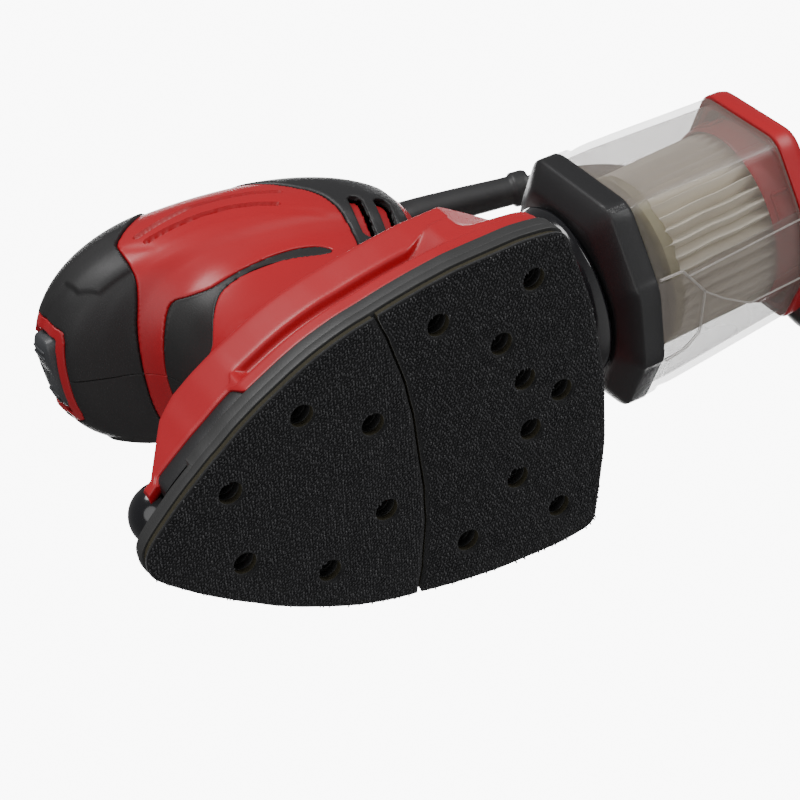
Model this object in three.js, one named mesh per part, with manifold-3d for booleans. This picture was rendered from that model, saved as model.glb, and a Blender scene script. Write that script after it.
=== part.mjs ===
// Corded detail sander with a delta-shaped pad, a palm-grip body and a rear dust canister.
// Millimetres. +X points to the pad's tip, +Y to the left of the tool, +Z up.
// The origin is on the sanding face, midway along the pad, on its centre line.
import * as THREE from "three";
import { mergeVertices } from "three/addons/utils/BufferGeometryUtils.js";
import Module from "manifold-3d";

const wasm = await Module();
wasm.setup();

// ---------------------------------------------------------------- driving dimensions
const HOOK_Z = [0, 1.6]; // hook-and-loop sheet
const FOAM_Z = [1.6, 3.6]; // backing foam
const PLATEN_Z = [3.6, 10.5]; // rigid platen
const SPLIT_GAP = 1.0; // gap between the tip and rear pad sheets
const HOLE_R = 3.6; // dust extraction holes
const ORBIT_R = 0.9; // eccentric throw: orbit diameter is twice this
const MOTOR_X = -8; // motor axis
const SHROUD_Z = 11.3; // bottom edge of the base shroud
const BODY_Z = 38.3; // bottom edge of the motor housing
const SKIN = 1.3; // thickness of the soft overmoulds
const SKIN_GAP = 0.3; // gap between an overmould and the shell under it
const WALL = 3.4; // whole wall of the motor housing
const CAN_Z = 42.9; // height of the dust port's axis
const SEAM_X = -95.4; // collar to cup seam
const CUP_END_X = -149; // rear edge of the clear cup
const END_X = -157; // rear face of the end cap
const CORD_R = 3.3;
const COIL = { x: -199.5, y: -63, rin: 19.2, rout: 44.4, z: 20.3 }; // seven turns in three layers
const PLUG_X = -225.8;

// right half of the pad outline from the tip to the rear centre: [x, half width]
const PAD = [
  [69.9, 0], [69, 3.9], [66.7, 6.6], [62.6, 10.4], [53.6, 18], [43.8, 25], [31.1, 33.2], [19.7, 38.8], [7.8, 43.3],
  [-4.4, 46.2], [-20.1, 49.2], [-36.3, 50.8], [-49.7, 51], [-56.4, 50.4], [-61.2, 49.1], [-63, 47], [-65.5, 35.4],
  [-68.4, 21.7], [-70, 0],
];
// rear edge of the tip sheet: [x, half width]
const SPLIT = [[-10.8, 0], [-10.9, 12.5], [-10, 22.7], [-7.8, 33.2], [-5.6, 42], [-3.4, 52]];
// extraction holes: [x, y], mirrored in y
const HOLES_TIP = [[43.2, 11.7], [20.1, 25.8], [0.9, 14.25]];
const HOLES_REAR = [[-21.8, 36], [-39.4, 22.4], [-45.1, 8.4], [-51.2, 38]];
const HOLE_MID = [-55.9, 0];

// motor housing: level, front x, rear x, half width, x of the widest point, front and rear roundness
const BODY = [
  [34, 36, -54, 34, -8, 2.3, 2.6], [46, 31.5, -50, 29.5, -8, 2.3, 2.6], [58, 29, -49, 27, -6, 2.2, 2.5],
  [70, 28, -50, 26, -2, 2.2, 2.3], [78, 29.7, -53, 27, 2, 2.2, 2.2], [84, 35.5, -57, 29.5, 6, 2.2, 2.1],
  [88.5, 45, -60.5, 32, 9, 2.3, 2.05], [93, 53, -63, 33.5, 11, 2.35, 2], [99, 56.5, -65, 34, 12, 2.4, 2],
  [106, 57, -65.5, 33.5, 12, 2.35, 2], [113, 54, -63, 31.5, 12, 2.3, 2], [119, 47.5, -56, 28, 11, 2.2, 2],
  [124, 38.5, -46, 22.5, 8, 2.15, 2], [128, 27, -34, 16, 5, 2.05, 2], [130.3, 16, -22, 9.5, 0, 2, 2],
  [131.2, 1, -7, 3, -3, 2, 2],
];

// ---------------------------------------------------------------- helpers
const root = new THREE.Group();
function solid(geometry) {
  const g = geometry.clone();
  for (const k of Object.keys(g.attributes)) if (k !== "position") g.deleteAttribute(k);
  const m = mergeVertices(g, 1e-4);
  return new wasm.Manifold(
    new wasm.Mesh({ numProp: 3, vertProperties: new Float32Array(m.attributes.position.array), triVerts: new Uint32Array(m.index.array) }),
  );
}
function geometryOf(m) {
  const mesh = m.getMesh();
  const n = mesh.numProp;
  const v = new Float32Array(mesh.numVert * 3);
  for (let i = 0; i < mesh.numVert; i++) for (let k = 0; k < 3; k++) v[i * 3 + k] = mesh.vertProperties[i * n + k];
  const g = new THREE.BufferGeometry();
  g.setAttribute("position", new THREE.BufferAttribute(v, 3));
  g.setIndex(new THREE.BufferAttribute(new Uint32Array(mesh.triVerts), 1));
  g.computeVertexNormals();
  return g;
}
function add(name, shape, color, roughness = 0.6, metalness = 0) {
  const g = shape.isBufferGeometry ? shape : geometryOf(shape);
  const mesh = new THREE.Mesh(g, new THREE.MeshStandardMaterial({ color, roughness, metalness, flatShading: true }));
  mesh.name = name;
  root.add(mesh);
  return mesh;
}
// closed solid through rings of equal point counts, capped at both ends
function loft(rings) {
  const n = rings[0].length;
  const pos = [];
  const idx = [];
  for (const r of rings) for (const p of r) pos.push(...p);
  for (let i = 0; i < rings.length - 1; i++)
    for (let j = 0; j < n; j++) {
      const a = i * n + j, b = i * n + ((j + 1) % n), c = a + n, d = b + n;
      idx.push(a, b, d, a, d, c);
    }
  for (const [i, flip] of [[0, true], [rings.length - 1, false]]) {
    const c = [0, 0, 0];
    for (const p of rings[i]) for (let k = 0; k < 3; k++) c[k] += p[k] / n;
    const ci = pos.length / 3;
    pos.push(...c);
    for (let j = 0; j < n; j++) {
      const a = i * n + j, b = i * n + ((j + 1) % n);
      if (flip) idx.push(ci, b, a);
      else idx.push(ci, a, b);
    }
  }
  let vol = 0;
  for (let t = 0; t < idx.length; t += 3) {
    const [a, b, c] = [idx[t], idx[t + 1], idx[t + 2]].map((i) => new THREE.Vector3(pos[3 * i], pos[3 * i + 1], pos[3 * i + 2]));
    vol += a.dot(b.cross(c)) / 6;
  }
  if (vol < 0) for (let t = 0; t < idx.length; t += 3) [idx[t + 1], idx[t + 2]] = [idx[t + 2], idx[t + 1]];
  const g = new THREE.BufferGeometry();
  g.setAttribute("position", new THREE.BufferAttribute(new Float32Array(pos), 3));
  g.setIndex(idx);
  return solid(g);
}
const BASES = {
  XY: [[1, 0, 0], [0, 1, 0], [0, 0, 1]],
  XZ: [[1, 0, 0], [0, 0, 1], [0, -1, 0]],
  YZ: [[0, 1, 0], [0, 0, 1], [1, 0, 0]],
};
// prism of a 2-D outline in a plane, from a to b along the plane's third axis
function prism(plane, pts, a, b, holes = []) {
  const s = new THREE.Shape(pts.map((p) => new THREE.Vector2(...p)));
  for (const h of holes) s.holes.push(new THREE.Path(h.map((p) => new THREE.Vector2(...p))));
  const g = new THREE.ExtrudeGeometry(s, { depth: b - a, bevelEnabled: false });
  const m = new THREE.Matrix4().makeBasis(...BASES[plane].map((v) => new THREE.Vector3(...v)));
  g.applyMatrix4(m);
  const sgn = plane === "XZ" ? -1 : 1;
  const off = sgn < 0 ? b : a;
  g.translate(plane === "YZ" ? off : 0, plane === "XZ" ? off : 0, plane === "XY" ? off : 0);
  return solid(g);
}
const box = (x0, x1, y0, y1, z0, z1) => {
  const g = new THREE.BoxGeometry(x1 - x0, y1 - y0, z1 - z0);
  g.translate((x0 + x1) / 2, (y0 + y1) / 2, (z0 + z1) / 2);
  return solid(g);
};
// cylinder between a and b along an axis; u, v are the centre on the other two axes in X, Y, Z order
function cyl(axis, r, a, b, u, v, seg = 24, r2 = r) {
  const g = new THREE.CylinderGeometry(r2, r, b - a, seg);
  if (axis === "z") g.rotateX(Math.PI / 2).translate(u, v, (a + b) / 2);
  else if (axis === "x") g.rotateZ(-Math.PI / 2).translate((a + b) / 2, u, v);
  else g.translate(u, (a + b) / 2, v);
  return solid(g);
}
const tube = (axis, ro, ri, a, b, u, v, seg = 24) => cyl(axis, ro, a, b, u, v, seg).subtract(cyl(axis, ri, a - 1, b + 1, u, v, seg));
const union = (...s) => s.reduce((a, b) => a.add(b));
const mirrorY = (pts) => pts.map(([x, y]) => [x, -y]);

// ---------------------------------------------------------------- pad
const padOutline = (() => {
  const right = PAD.slice(1, -1).map(([x, y]) => [x, -y]);
  const left = PAD.slice(1, -1).map(([x, y]) => [x, y]).reverse();
  return [PAD[0], ...right, PAD[PAD.length - 1], ...left];
})();
const scaled = (pts, inset) => pts.map(([x, y]) => [x * (1 - inset / 70), y * (1 - inset / 51)]);
const splitTip = [...SPLIT.slice(1).reverse(), ...mirrorY(SPLIT)];
const tipRegion = [...splitTip.map(([x, y]) => [x, y]), [80, -60], [80, 60]];
const rearRegion = [...splitTip.map(([x, y]) => [x - SPLIT_GAP, y]), [-80, -60], [-80, 60]];
function drilled(s, tip, rear, r = HOLE_R) {
  const c = [];
  if (tip) for (const [x, y] of HOLES_TIP) c.push([x, y], [x, -y]);
  if (rear) {
    for (const [x, y] of HOLES_REAR) c.push([x, y], [x, -y]);
    c.push(HOLE_MID);
  }
  for (const [x, y] of c) s = s.subtract(cyl("z", r, -1, 12, x, y, 8));
  return s;
}
for (const [kind, z, color] of [["hook_sheet", HOOK_Z, 0x1b1b1b], ["foam", FOAM_Z, 0x2a2620]])
  for (const [side, region] of [["tip", tipRegion], ["rear", rearRegion]]) {
    const s = prism("XY", padOutline, z[0], z[1]).intersect(prism("XY", region, z[0] - 1, z[1] + 1));
    add(kind + "_" + side, drilled(s, side === "tip", side === "rear"), color, 0.95);
  }
const PX = MOTOR_X + ORBIT_R; // axis of the eccentric pin
{
  let p = prism("XY", scaled(padOutline, 0.4), PLATEN_Z[0], PLATEN_Z[1]);
  p = p.subtract(prism("XY", scaled(padOutline, 4).filter((_, i) => i % 3 === 0), 7.2, 20).subtract(cyl("z", 17, 0, 30, PX, 0, 20)));
  p = p.subtract(box(49, 80, -40, 40, 8.4, 20));
  p = p.add(cyl("z", 15, 6, 16, PX, 0, 20));
  p = drilled(p, true, true, HOLE_R);
  p = p.subtract(cyl("z", 11.2, 6.2, 30, PX, 0, 24));
  add("platen", p, 0x202020, 0.5);
}
add("eccentric_bearing", tube("z", 10.9, 4.6, 6.5, 14.5, PX, 0, 24), 0x9a9a9e, 0.3, 0.9);

// ---------------------------------------------------------------- rotor
add("eccentric_hub", union(cyl("z", 4.2, 7, 17, PX, 0, 16), cyl("z", 9, 16.8, 20, MOTOR_X, 0, 16)), 0x8a8a8e, 0.4, 0.8);
{
  const arc = [[0, 0]];
  for (let i = 0; i <= 12; i++) arc.push([22 * Math.cos(Math.PI / 2 + (Math.PI * i) / 12), 22 * Math.sin(Math.PI / 2 + (Math.PI * i) / 12)]);
  const w = prism("XY", arc.map(([x, y]) => [x + MOTOR_X, y]), 20.3, 23.8).subtract(cyl("z", 4, 10, 40, MOTOR_X, 0));
  add("counterweight", w, 0x77777a, 0.4, 0.9);
}
{
  let f = cyl("z", 24, 24.1, 25.3, MOTOR_X, 0, 24).add(cyl("z", 8, 24.1, 32, MOTOR_X, 0, 16));
  for (let i = 0; i < 8; i++) {
    const b = new THREE.BoxGeometry(15.5, 1.2, 7);
    b.translate(15.5, 0, 28.4).rotateZ((Math.PI * 2 * i) / 8).translate(MOTOR_X, 0, 0);
    f = f.add(solid(b));
  }
  add("cooling_fan", f.subtract(cyl("z", 3.85, 10, 40, MOTOR_X, 0)), 0x2b2b2b, 0.6);
}
add("armature_shaft", cyl("z", 3.5, 20.3, 107.5, MOTOR_X, 0, 16), 0xb8b8bc, 0.25, 1);
add("armature_core", tube("z", 12.3, 3.8, 50, 80, MOTOR_X, 0, 20), 0x6d6d70, 0.5, 0.8);
add("armature_winding_lower", tube("z", 11, 3.8, 44.5, 49.7, MOTOR_X, 0, 16), 0xb06a33, 0.4, 0.5);
add("armature_winding_upper", tube("z", 11, 3.8, 80.3, 85.2, MOTOR_X, 0, 16), 0xb06a33, 0.4, 0.5);
add("commutator", tube("z", 8.5, 3.8, 85.6, 97, MOTOR_X, 0, 16), 0xb87333, 0.3, 0.9);

// ---------------------------------------------------------------- motor, fixed parts
add("field_core", tube("z", 21, 13.2, 49, 81, MOTOR_X, 0, 24), 0x66666a, 0.5, 0.8);
for (const [name, s] of [["field_coil_front", 1], ["field_coil_rear", -1]]) {
  const pts = [];
  for (let i = 0; i <= 8; i++) { const a = -0.95 + (1.9 * i) / 8; pts.push([MOTOR_X + s * 20 * Math.cos(a), 20 * Math.sin(a) * s]); }
  for (let i = 8; i >= 0; i--) { const a = -0.95 + (1.9 * i) / 8; pts.push([MOTOR_X + s * 13.4 * Math.cos(a), 13.4 * Math.sin(a) * s]); }
  add(name, prism("XY", pts, 81.3, 86.5), 0xb06a33, 0.4, 0.5);
}
add("lower_bearing", tube("z", 10.6, 3.8, 36.6, 42.6, MOTOR_X, 0, 16), 0x9a9a9e, 0.3, 0.9);
add("upper_bearing", tube("z", 8, 3.8, 100, 106, MOTOR_X, 0, 16), 0x9a9a9e, 0.3, 0.9);
add("motor_bracket", tube("z", 21.5, 10.9, 36.3, 43, MOTOR_X, 0, 20), 0x3a3a3c, 0.6);
add("bearing_cap", cyl("z", 11, 99.5, 110.2, MOTOR_X, 0, 16).subtract(cyl("z", 8.3, 90, 108.2, MOTOR_X, 0, 16)), 0x3a3a3c, 0.6);
for (const [side, s] of [["left", 1], ["right", -1]]) {
  const span = (a, b, w, z0, z1) => (s > 0 ? box(MOTOR_X - w, MOTOR_X + w, a, b, z0, z1) : box(MOTOR_X - w, MOTOR_X + w, -b, -a, z0, z1));
  add("carbon_brush_" + side, span(8.9, 17, 2.5, 88.5, 95), 0x2c2c2e, 0.8);
  add("brush_holder_" + side, span(11.5, 21, 4, 87, 96.5).subtract(span(5, 20, 2.8, 88.2, 95.3)), 0xa58a4a, 0.4, 0.7);
}

// ---------------------------------------------------------------- motor housing
// monotone cubic through the level table
function pchip(xs, ys) {
  const n = xs.length, h = [], dl = [], m = new Array(n).fill(0);
  for (let i = 0; i < n - 1; i++) { h.push(xs[i + 1] - xs[i]); dl.push((ys[i + 1] - ys[i]) / h[i]); }
  for (let i = 1; i < n - 1; i++)
    if (dl[i - 1] * dl[i] > 0) { const a = 2 * h[i] + h[i - 1], b = h[i] + 2 * h[i - 1]; m[i] = (a + b) / (a / dl[i - 1] + b / dl[i]); }
  m[0] = dl[0]; m[n - 1] = dl[n - 2];
  return (x) => {
    let i = 0;
    while (i < n - 2 && x > xs[i + 1]) i++;
    const t = (x - xs[i]) / h[i], t2 = t * t, t3 = t2 * t;
    return (2 * t3 - 3 * t2 + 1) * ys[i] + (t3 - 2 * t2 + t) * h[i] * m[i] + (-2 * t3 + 3 * t2) * ys[i + 1] + (t3 - t2) * h[i] * m[i + 1];
  };
}
const U = [0];
for (let i = 1; i < BODY.length; i++)
  U.push(U[i - 1] + Math.hypot(BODY[i][0] - BODY[i - 1][0], 0.5 * (Math.abs(BODY[i][1] - BODY[i - 1][1]) + Math.abs(BODY[i][2] - BODY[i - 1][2]))));
const TOTAL = U[U.length - 1];
const bodyFn = [0, 1, 2, 3, 4, 5, 6].map((k) => pchip(U, BODY.map((r) => r[k])));
function bodyPoint(u, th) {
  const [z, xf, xr, w, xw, ef, er] = bodyFn.map((f) => f(u * TOTAL));
  const c = Math.cos(th), s = Math.sin(th), e = c >= 0 ? ef : er;
  return [
    xw + (c >= 0 ? xf - xw : xw - xr) * Math.sign(c) * Math.abs(c) ** (2 / e),
    w * Math.sign(s) * Math.abs(s) ** (2 / e),
    z,
  ];
}
const NT = 11, NH = 16;
const TH = [...Array(NH)].map((_, j) => ((j + 0.5) * 2 * Math.PI) / NH);
const US = [...Array(NT)].map((_, i) => i / (NT - 1));
// housing skin moved inwards by d along the surface normal
function skin(d, z0 = null) {
  const rings = US.map((u) =>
    TH.map((th) => {
      const p = new THREE.Vector3(...bodyPoint(u, th));
      if (!d) return p.toArray();
      const e = 1e-3;
      const a = new THREE.Vector3(...bodyPoint(Math.min(1, u + e), th)).sub(new THREE.Vector3(...bodyPoint(Math.max(0, u - e), th)));
      const b = new THREE.Vector3(...bodyPoint(u, th + e)).sub(new THREE.Vector3(...bodyPoint(u, th - e)));
      const n = b.cross(a).normalize();
      return p.addScaledVector(n, -d).toArray();
    }),
  );
  if (z0 !== null) rings.unshift(rings[0].map(([x, y]) => [x, y, z0]));
  return loft(rings);
}
const outer = skin(0);
const mid = skin(SKIN, 28);
const base = skin(SKIN + SKIN_GAP, 28);
const inner = skin(WALL, 28);
const above = box(-200, 200, -100, 100, BODY_Z, 200);
// side outlines [x, z] of the overmoulds
const NOSE = [[37, 70], [36.2, 81], [31, 85.4], [28.8, 89], [29, 98], [26.5, 104], [13, 118], [9, 140], [80, 140], [80, 70]];
const BAND = [[45, 77.3], [29, 78], [24.4, 80.2], [17.7, 77.6], [8.6, 75], [-2.4, 76], [-18, 76.3], [-25.7, 71.2], [-21.9, 70.2], [-6, 72.8], [6.8, 72], [13, 69.5], [19, 60.5], [21, 56], [45, 54]];
const VENT = [[-8, 140], [-10, 126], [-17, 116], [-31, 101], [-36.3, 90], [-35, 76.7], [-33, 70], [-54.5, 70], [-59.5, 98], [-56, 112], [-40, 140]];
const grow = (pts, d) => {
  // moves an outline outwards by d
  const n = pts.length;
  let area = 0;
  for (let i = 0; i < n; i++) area += pts[i][0] * pts[(i + 1) % n][1] - pts[(i + 1) % n][0] * pts[i][1];
  const s = area > 0 ? 1 : -1;
  return pts.map((p, i) => {
    const a = pts[(i + n - 1) % n], b = pts[(i + 1) % n];
    const e1 = new THREE.Vector2(p[0] - a[0], p[1] - a[1]).normalize(), e2 = new THREE.Vector2(b[0] - p[0], b[1] - p[1]).normalize();
    const n1 = new THREE.Vector2(e1.y * s, -e1.x * s), n2 = new THREE.Vector2(e2.y * s, -e2.x * s);
    const m = n1.clone().add(n2), k = d / Math.max(0.5, m.lengthSq() / 2);
    return [p[0] + m.x * k, p[1] + m.y * k];
  });
};
const noseP = prism("XZ", NOSE, -60, 60);
const bandP = prism("XZ", BAND, -60, 60);
const ventP = prism("XZ", VENT, -60, 60);
const halfL = box(-200, 200, 0.15, 100, 0, 200);
const halfR = box(-200, 200, -100, -0.15, 0, 200);
// louvres in the rear cover, long slots that lean forward as they fall
const slots = [];
for (const [x, zt, zb] of [[-41, 95, 76], [-48, 97, 79], [-54.5, 97, 84]]) {
  const lean = (zt - zb) * 0.24;
  slots.push(prism("XZ", [[x - 1.9, zt], [x + 1.9, zt], [x + 1.9 + lean, zb], [x - 1.9 + lean, zb]], -60, 60));
}
const slotCore = box(-100, 0, -6, 6, 0, 200);
const slotCut = union(...slots).subtract(slotCore);
const slotThin = union(
  ...[[-41, 94, 77], [-48, 96, 80], [-54.5, 96, 85]].map(([x, zt, zb]) => {
    const lean = (zt - zb) * 0.24;
    return prism("XZ", [[x - 1.9, zt], [x - 0.2, zt], [x - 0.2 + lean, zb], [x - 1.9 + lean, zb]], -60, 60);
  }),
).subtract(slotCore);
// switch window in the nose
const winOuter = [[-15, 94], [15, 94], [16, 97], [16, 109], [14, 112], [-14, 112], [-16, 109], [-16, 97]];
const winInner = [[-12.6, 96.6], [12.6, 96.6], [13.2, 98], [13.2, 108], [12, 109.6], [-12, 109.6], [-13.2, 108], [-13.2, 98]];
const rockerO = [[-11.9, 97.3], [11.9, 97.3], [12.5, 98.5], [12.5, 107.6], [11.4, 108.9], [-11.4, 108.9], [-12.5, 107.6], [-12.5, 98.5]];
const winCut = prism("YZ", winOuter, 40, 70);
const winHole = prism("YZ", winInner, 38, 70);
const port = cyl("x", 20.1, -90, -40, 0, CAN_Z, 24); // dust port
const gland = cyl("x", 5.95, -90, -50, 0, 109.2, 12);
const overP = union(noseP, bandP, ventP);
const nosePg = prism("XZ", grow(NOSE, 0.3), -60, 60);
const bandPg = prism("XZ", grow(BAND, 0.3), -60, 60);
const ventPg = prism("XZ", grow(VENT, 0.3), -60, 60);
const pocket = union(nosePg, bandPg, ventPg).subtract(base);
let shell = outer.subtract(inner).intersect(above).subtract(pocket).subtract(winHole).subtract(port).subtract(gland).subtract(slotThin);
// screw bosses: [x, z]
const BOSS = [[20.5, 50], [-38.5, 66], [20, 89.5], [-5, 119]];
function halfWidth(x, z) {
  let lo = 0, hi = 1;
  for (let i = 0; i < 40; i++) { const m = (lo + hi) / 2; if (bodyFn[0](m * TOTAL) < z) lo = m; else hi = m; }
  const [, xf, xr, w, xw, ef, er] = bodyFn.map((f) => f(lo * TOTAL));
  const e = x >= xw ? ef : er, a = x >= xw ? xf - xw : xw - xr;
  return w * (1 - Math.min(1, Math.abs(x - xw) / a) ** e) ** (1 / e);
}
const bossLimit = skin(2.2, 28).intersect(above);
for (const [side, half, s] of [["left", halfL, 1], ["right", halfR, -1]]) {
  let h = shell.intersect(half);
  for (const [x, z] of BOSS) {
    const b = s > 0 ? cyl("y", 3.6, 0.15, 60, x, z, 16) : cyl("y", 3.6, -60, -0.15, x, z, 16);
    h = h.add(b.intersect(bossLimit));
  }
  for (const [x, z] of BOSS) {
    const w = halfWidth(x, z);
    if (s > 0) h = h.subtract(cyl("y", 1.8, -1, 9, x, z, 12));
    else h = h.subtract(cyl("y", 1.8, -60, 1, x, z, 12)).subtract(cyl("y", 3.2, -60, -(w - 4.5), x, z, 16));
  }
  // the largest connected body is the shell half
  const parts = h.decompose().sort((a, b) => b.volume() - a.volume());
  add("housing_" + side, parts[0], 0xb3242a, 0.35);
}
BOSS.forEach(([x, z], i) => {
  const w = halfWidth(x, z);
  add("housing_screw_" + (i + 1), union(cyl("y", 2.8, -(w - 2.2), -(w - 4.5), x, z, 12).subtract(box(x - 3, x + 3, -(w - 1.2), -(w - 2.2) + 1, z - 0.4, z + 0.4)), cyl("y", 1.4, -(w - 4.4), 7.5, x, z, 10)), 0x55555a, 0.4, 0.9);
});
const over = outer.subtract(mid).intersect(above);
for (const [side, half] of [["left", halfL], ["right", halfR]]) {
  const big = (m) => m.decompose().sort((a, b) => b.volume() - a.volume())[0];
  add("nose_grip_" + side, big(over.intersect(noseP).subtract(winCut).intersect(half)), 0x242424, 0.75);
  add("grip_band_" + side, big(over.intersect(bandP).intersect(half)), 0x2a2a2b, 0.7);
}
add("vent_cover", over.intersect(ventP).subtract(slotCut).decompose().sort((a, b) => b.volume() - a.volume())[0], 0x262626, 0.7);
// switch: rocker tilts about a vertical axis; it rests with its left side pressed
const ROCK = { x: 50, deg: -6 };
{
  const r = geometryOf(prism("YZ", rockerO, 47, 70).intersect(skin(0.5)));
  r.translate(-ROCK.x, 0, 0).rotateZ(THREE.MathUtils.degToRad(ROCK.deg)).translate(ROCK.x, 0, 0);
  add("switch_rocker", r, 0x3c3e42, 0.5);
}
add("switch_body", box(30, 44.5, -10, 10, 98, 108), 0x2f2f31, 0.6);

// ---------------------------------------------------------------- base shroud
const N_OUT = padOutline.length;
// crest height along the shroud's top edge
const crest = (x) => (x < 44 ? 35 : x < 50 ? 35 - ((x - 44) / 6) * 2.6 : Math.max(20, 32.4 - (x - 50) * 1.25));
{
  const ring = (inset, z) => scaled(padOutline, inset).map(([x, y]) => [x, y, typeof z === "number" ? z : z(x)]);
  const o = loft([
    ring(1.2, SHROUD_Z), ring(1.6, 16.4), ring(4.8, 17), ring(4.8, 21), ring(1.9, 22.2),
    ring(2.2, (x) => crest(x) - 1.2), ring(3.6, (x) => crest(x)), ring(12, (x) => crest(x) + 1.2), ring(24, (x) => Math.min(38, crest(x) + 2.6)),
  ]);
  const i = loft([ring(4, SHROUD_Z - 3), ring(4, 13), ring(7.6, 15.5), ring(7.6, 24), ring(8.5, (x) => Math.min(31.5, crest(x) - 3.4))]);
  // rear corners are cut across
  const corner = [[-80, -20], [-66.5, -22], [-58.5, -37.5], [-43, -49], [-41, -60], [90, -60], [90, 60], [-41, 60], [-43, 49], [-58.5, 37.5], [-66.5, 22], [-80, 20]];
  const cornerHigh = prism("XY", corner, 22.3, 60).add(prism("XY", padOutline.map(([x, y]) => [x * 1.1, y * 1.1]), 0, 22.4));
  let s = o.intersect(cornerHigh).subtract(i);
  s = s.subtract(box(-200, 200, -100, 100, 38, 80));
  const neckHole = loft([18, 60].map((z) => TH.map((th) => { const p = bodyPoint(0.03, th); return [MOTOR_X + (p[0] - MOTOR_X) * 0.86, p[1] * 0.86, z]; })));
  s = s.subtract(neckHole).subtract(port);
  s = s.subtract(cyl("x", 9, 51, 80, 0, 16, 16)).subtract(box(60.5, 80, -30, 30, 0, 60));
  add("base_shroud", s.decompose().sort((a, b) => b.volume() - a.volume())[0], 0xb3242a, 0.35);
}
{
  const g = new THREE.SphereGeometry(1, 16, 8);
  g.rotateX(Math.PI / 2).scale(8.2, 8.2, 6.2).translate(58, 0, 17.2);
  add("front_bumper", solid(g).intersect(box(52, 80, -20, 20, 11.3, 40)), 0x121212, 0.3);
}
[[30, 14], [30, -14], [-42, 30], [-42, -30]].forEach(([x, y], i) =>
  add("rubber_post_" + (i + 1), cyl("z", 5, 10.9, 28, x, y, 14, 4), 0x1d1d1d, 0.9));

// ---------------------------------------------------------------- dust port
{
  const p = [[14, -46], [19.7, -46], [19.7, -68], [21.5, -73], [25.6, -79], [26.2, -81.4], [25, -82.9], [17, -82.9], [17, -92], [14, -92]];
  const g = new THREE.LatheGeometry([...p, p[0]].map(([r, x]) => new THREE.Vector2(r, x)), 24);
  g.rotateZ(-Math.PI / 2).translate(0, 0, CAN_Z);
  let s;
  try { s = solid(g); if (s.volume() < 0) throw 0; } catch (e) {
    const g2 = new THREE.LatheGeometry([...p, p[0]].reverse().map(([r, x]) => new THREE.Vector2(r, x)), 24);
    g2.rotateZ(-Math.PI / 2).translate(0, 0, CAN_Z);
    s = solid(g2);
  }
  add("dust_port", s, 0x141414, 0.15);
}

// ---------------------------------------------------------------- canister
// six-sided section with flats left and right, rounded corners and cut-off points at top and bottom: apothem a, top and bottom flats at f
function hexRing(x, cz, a, f, round = 5) {
  const pts = [];
  const corners = [];
  const k = a / Math.cos(Math.PI / 6);
  const base6 = [0, 1, 2, 3, 4, 5].map((i) => [k * Math.cos(Math.PI / 6 + (i * Math.PI) / 3), k * Math.sin(Math.PI / 6 + (i * Math.PI) / 3)]);
  // order: 30, 90, 150, 210, 270, 330 degrees; the 90 and 270 points are cut off
  const t = (k - f) / Math.tan(Math.PI / 6);
  for (const i of [0, 1, 2, 3, 4, 5]) {
    const [y, z] = base6[i];
    if (i === 1) corners.push([t, f], [-t, f]);
    else if (i === 4) corners.push([-t, -f], [t, -f]);
    else corners.push([y, z]);
  }
  const n = corners.length;
  for (let i = 0; i < n; i++) {
    const p = corners[i], a1 = corners[(i + n - 1) % n], b1 = corners[(i + 1) % n];
    const va = [a1[0] - p[0], a1[1] - p[1]], vb = [b1[0] - p[0], b1[1] - p[1]];
    const la = Math.hypot(...va), lb = Math.hypot(...vb), c = Math.min(round, la * 0.45, lb * 0.45);
    for (let q = 0; q <= 2; q++) {
      const s = q / 2;
      const A = [p[0] + (va[0] / la) * c, p[1] + (va[1] / la) * c], B = [p[0] + (vb[0] / lb) * c, p[1] + (vb[1] / lb) * c];
      pts.push([x, (1 - s) ** 2 * A[0] + 2 * s * (1 - s) * p[0] + s * s * B[0], cz + (1 - s) ** 2 * A[1] + 2 * s * (1 - s) * p[1] + s * s * B[1]]);
    }
  }
  return pts;
}
// axis height and apothem along the canister
const canZ = (x) => CAN_Z + Math.max(0, ((SEAM_X - x) / (SEAM_X - CUP_END_X)) * 4.0);
const canA = (x) => 33.7 - Math.max(0, ((SEAM_X - x) / (SEAM_X - CUP_END_X)) * 2.7);
const hexAt = (x, d = 0, r = 6) => hexRing(x, canZ(x), canA(x) - d, (canA(x) - d) * 0.955, r);
{
  const o = loft([hexAt(-83.5, 5), hexAt(-84.2, 4.2), hexAt(-87.6, 0.2), hexAt(-88.4, -0.5), hexAt(-93, -0.5), hexAt(SEAM_X, 0)]);
  const i = loft([hexAt(-89, 3.2), hexAt(-97, 3.2)]);
  add("canister_collar", o.subtract(i).subtract(cyl("x", 17.25, -100, -70, 0, CAN_Z, 24)), 0x17171a, 0.35);
  add("cup_gasket", loft([hexAt(-93.3, 3.5), hexAt(-95.3, 3.5)]).subtract(loft([hexAt(-92, 6), hexAt(-97, 6)])), 0x101010, 0.9);
}
{
  const o = loft([hexAt(-95.7, 0), hexAt(-99, -0.2), hexAt(-100.5, 0.3), hexAt(CUP_END_X, 0)]);
  const i = loft([hexAt(-94, 1.8), hexAt(-151, 1.8)]);
  add("canister_cup", o.subtract(i), 0x8d857c, 0.08);
}
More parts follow.
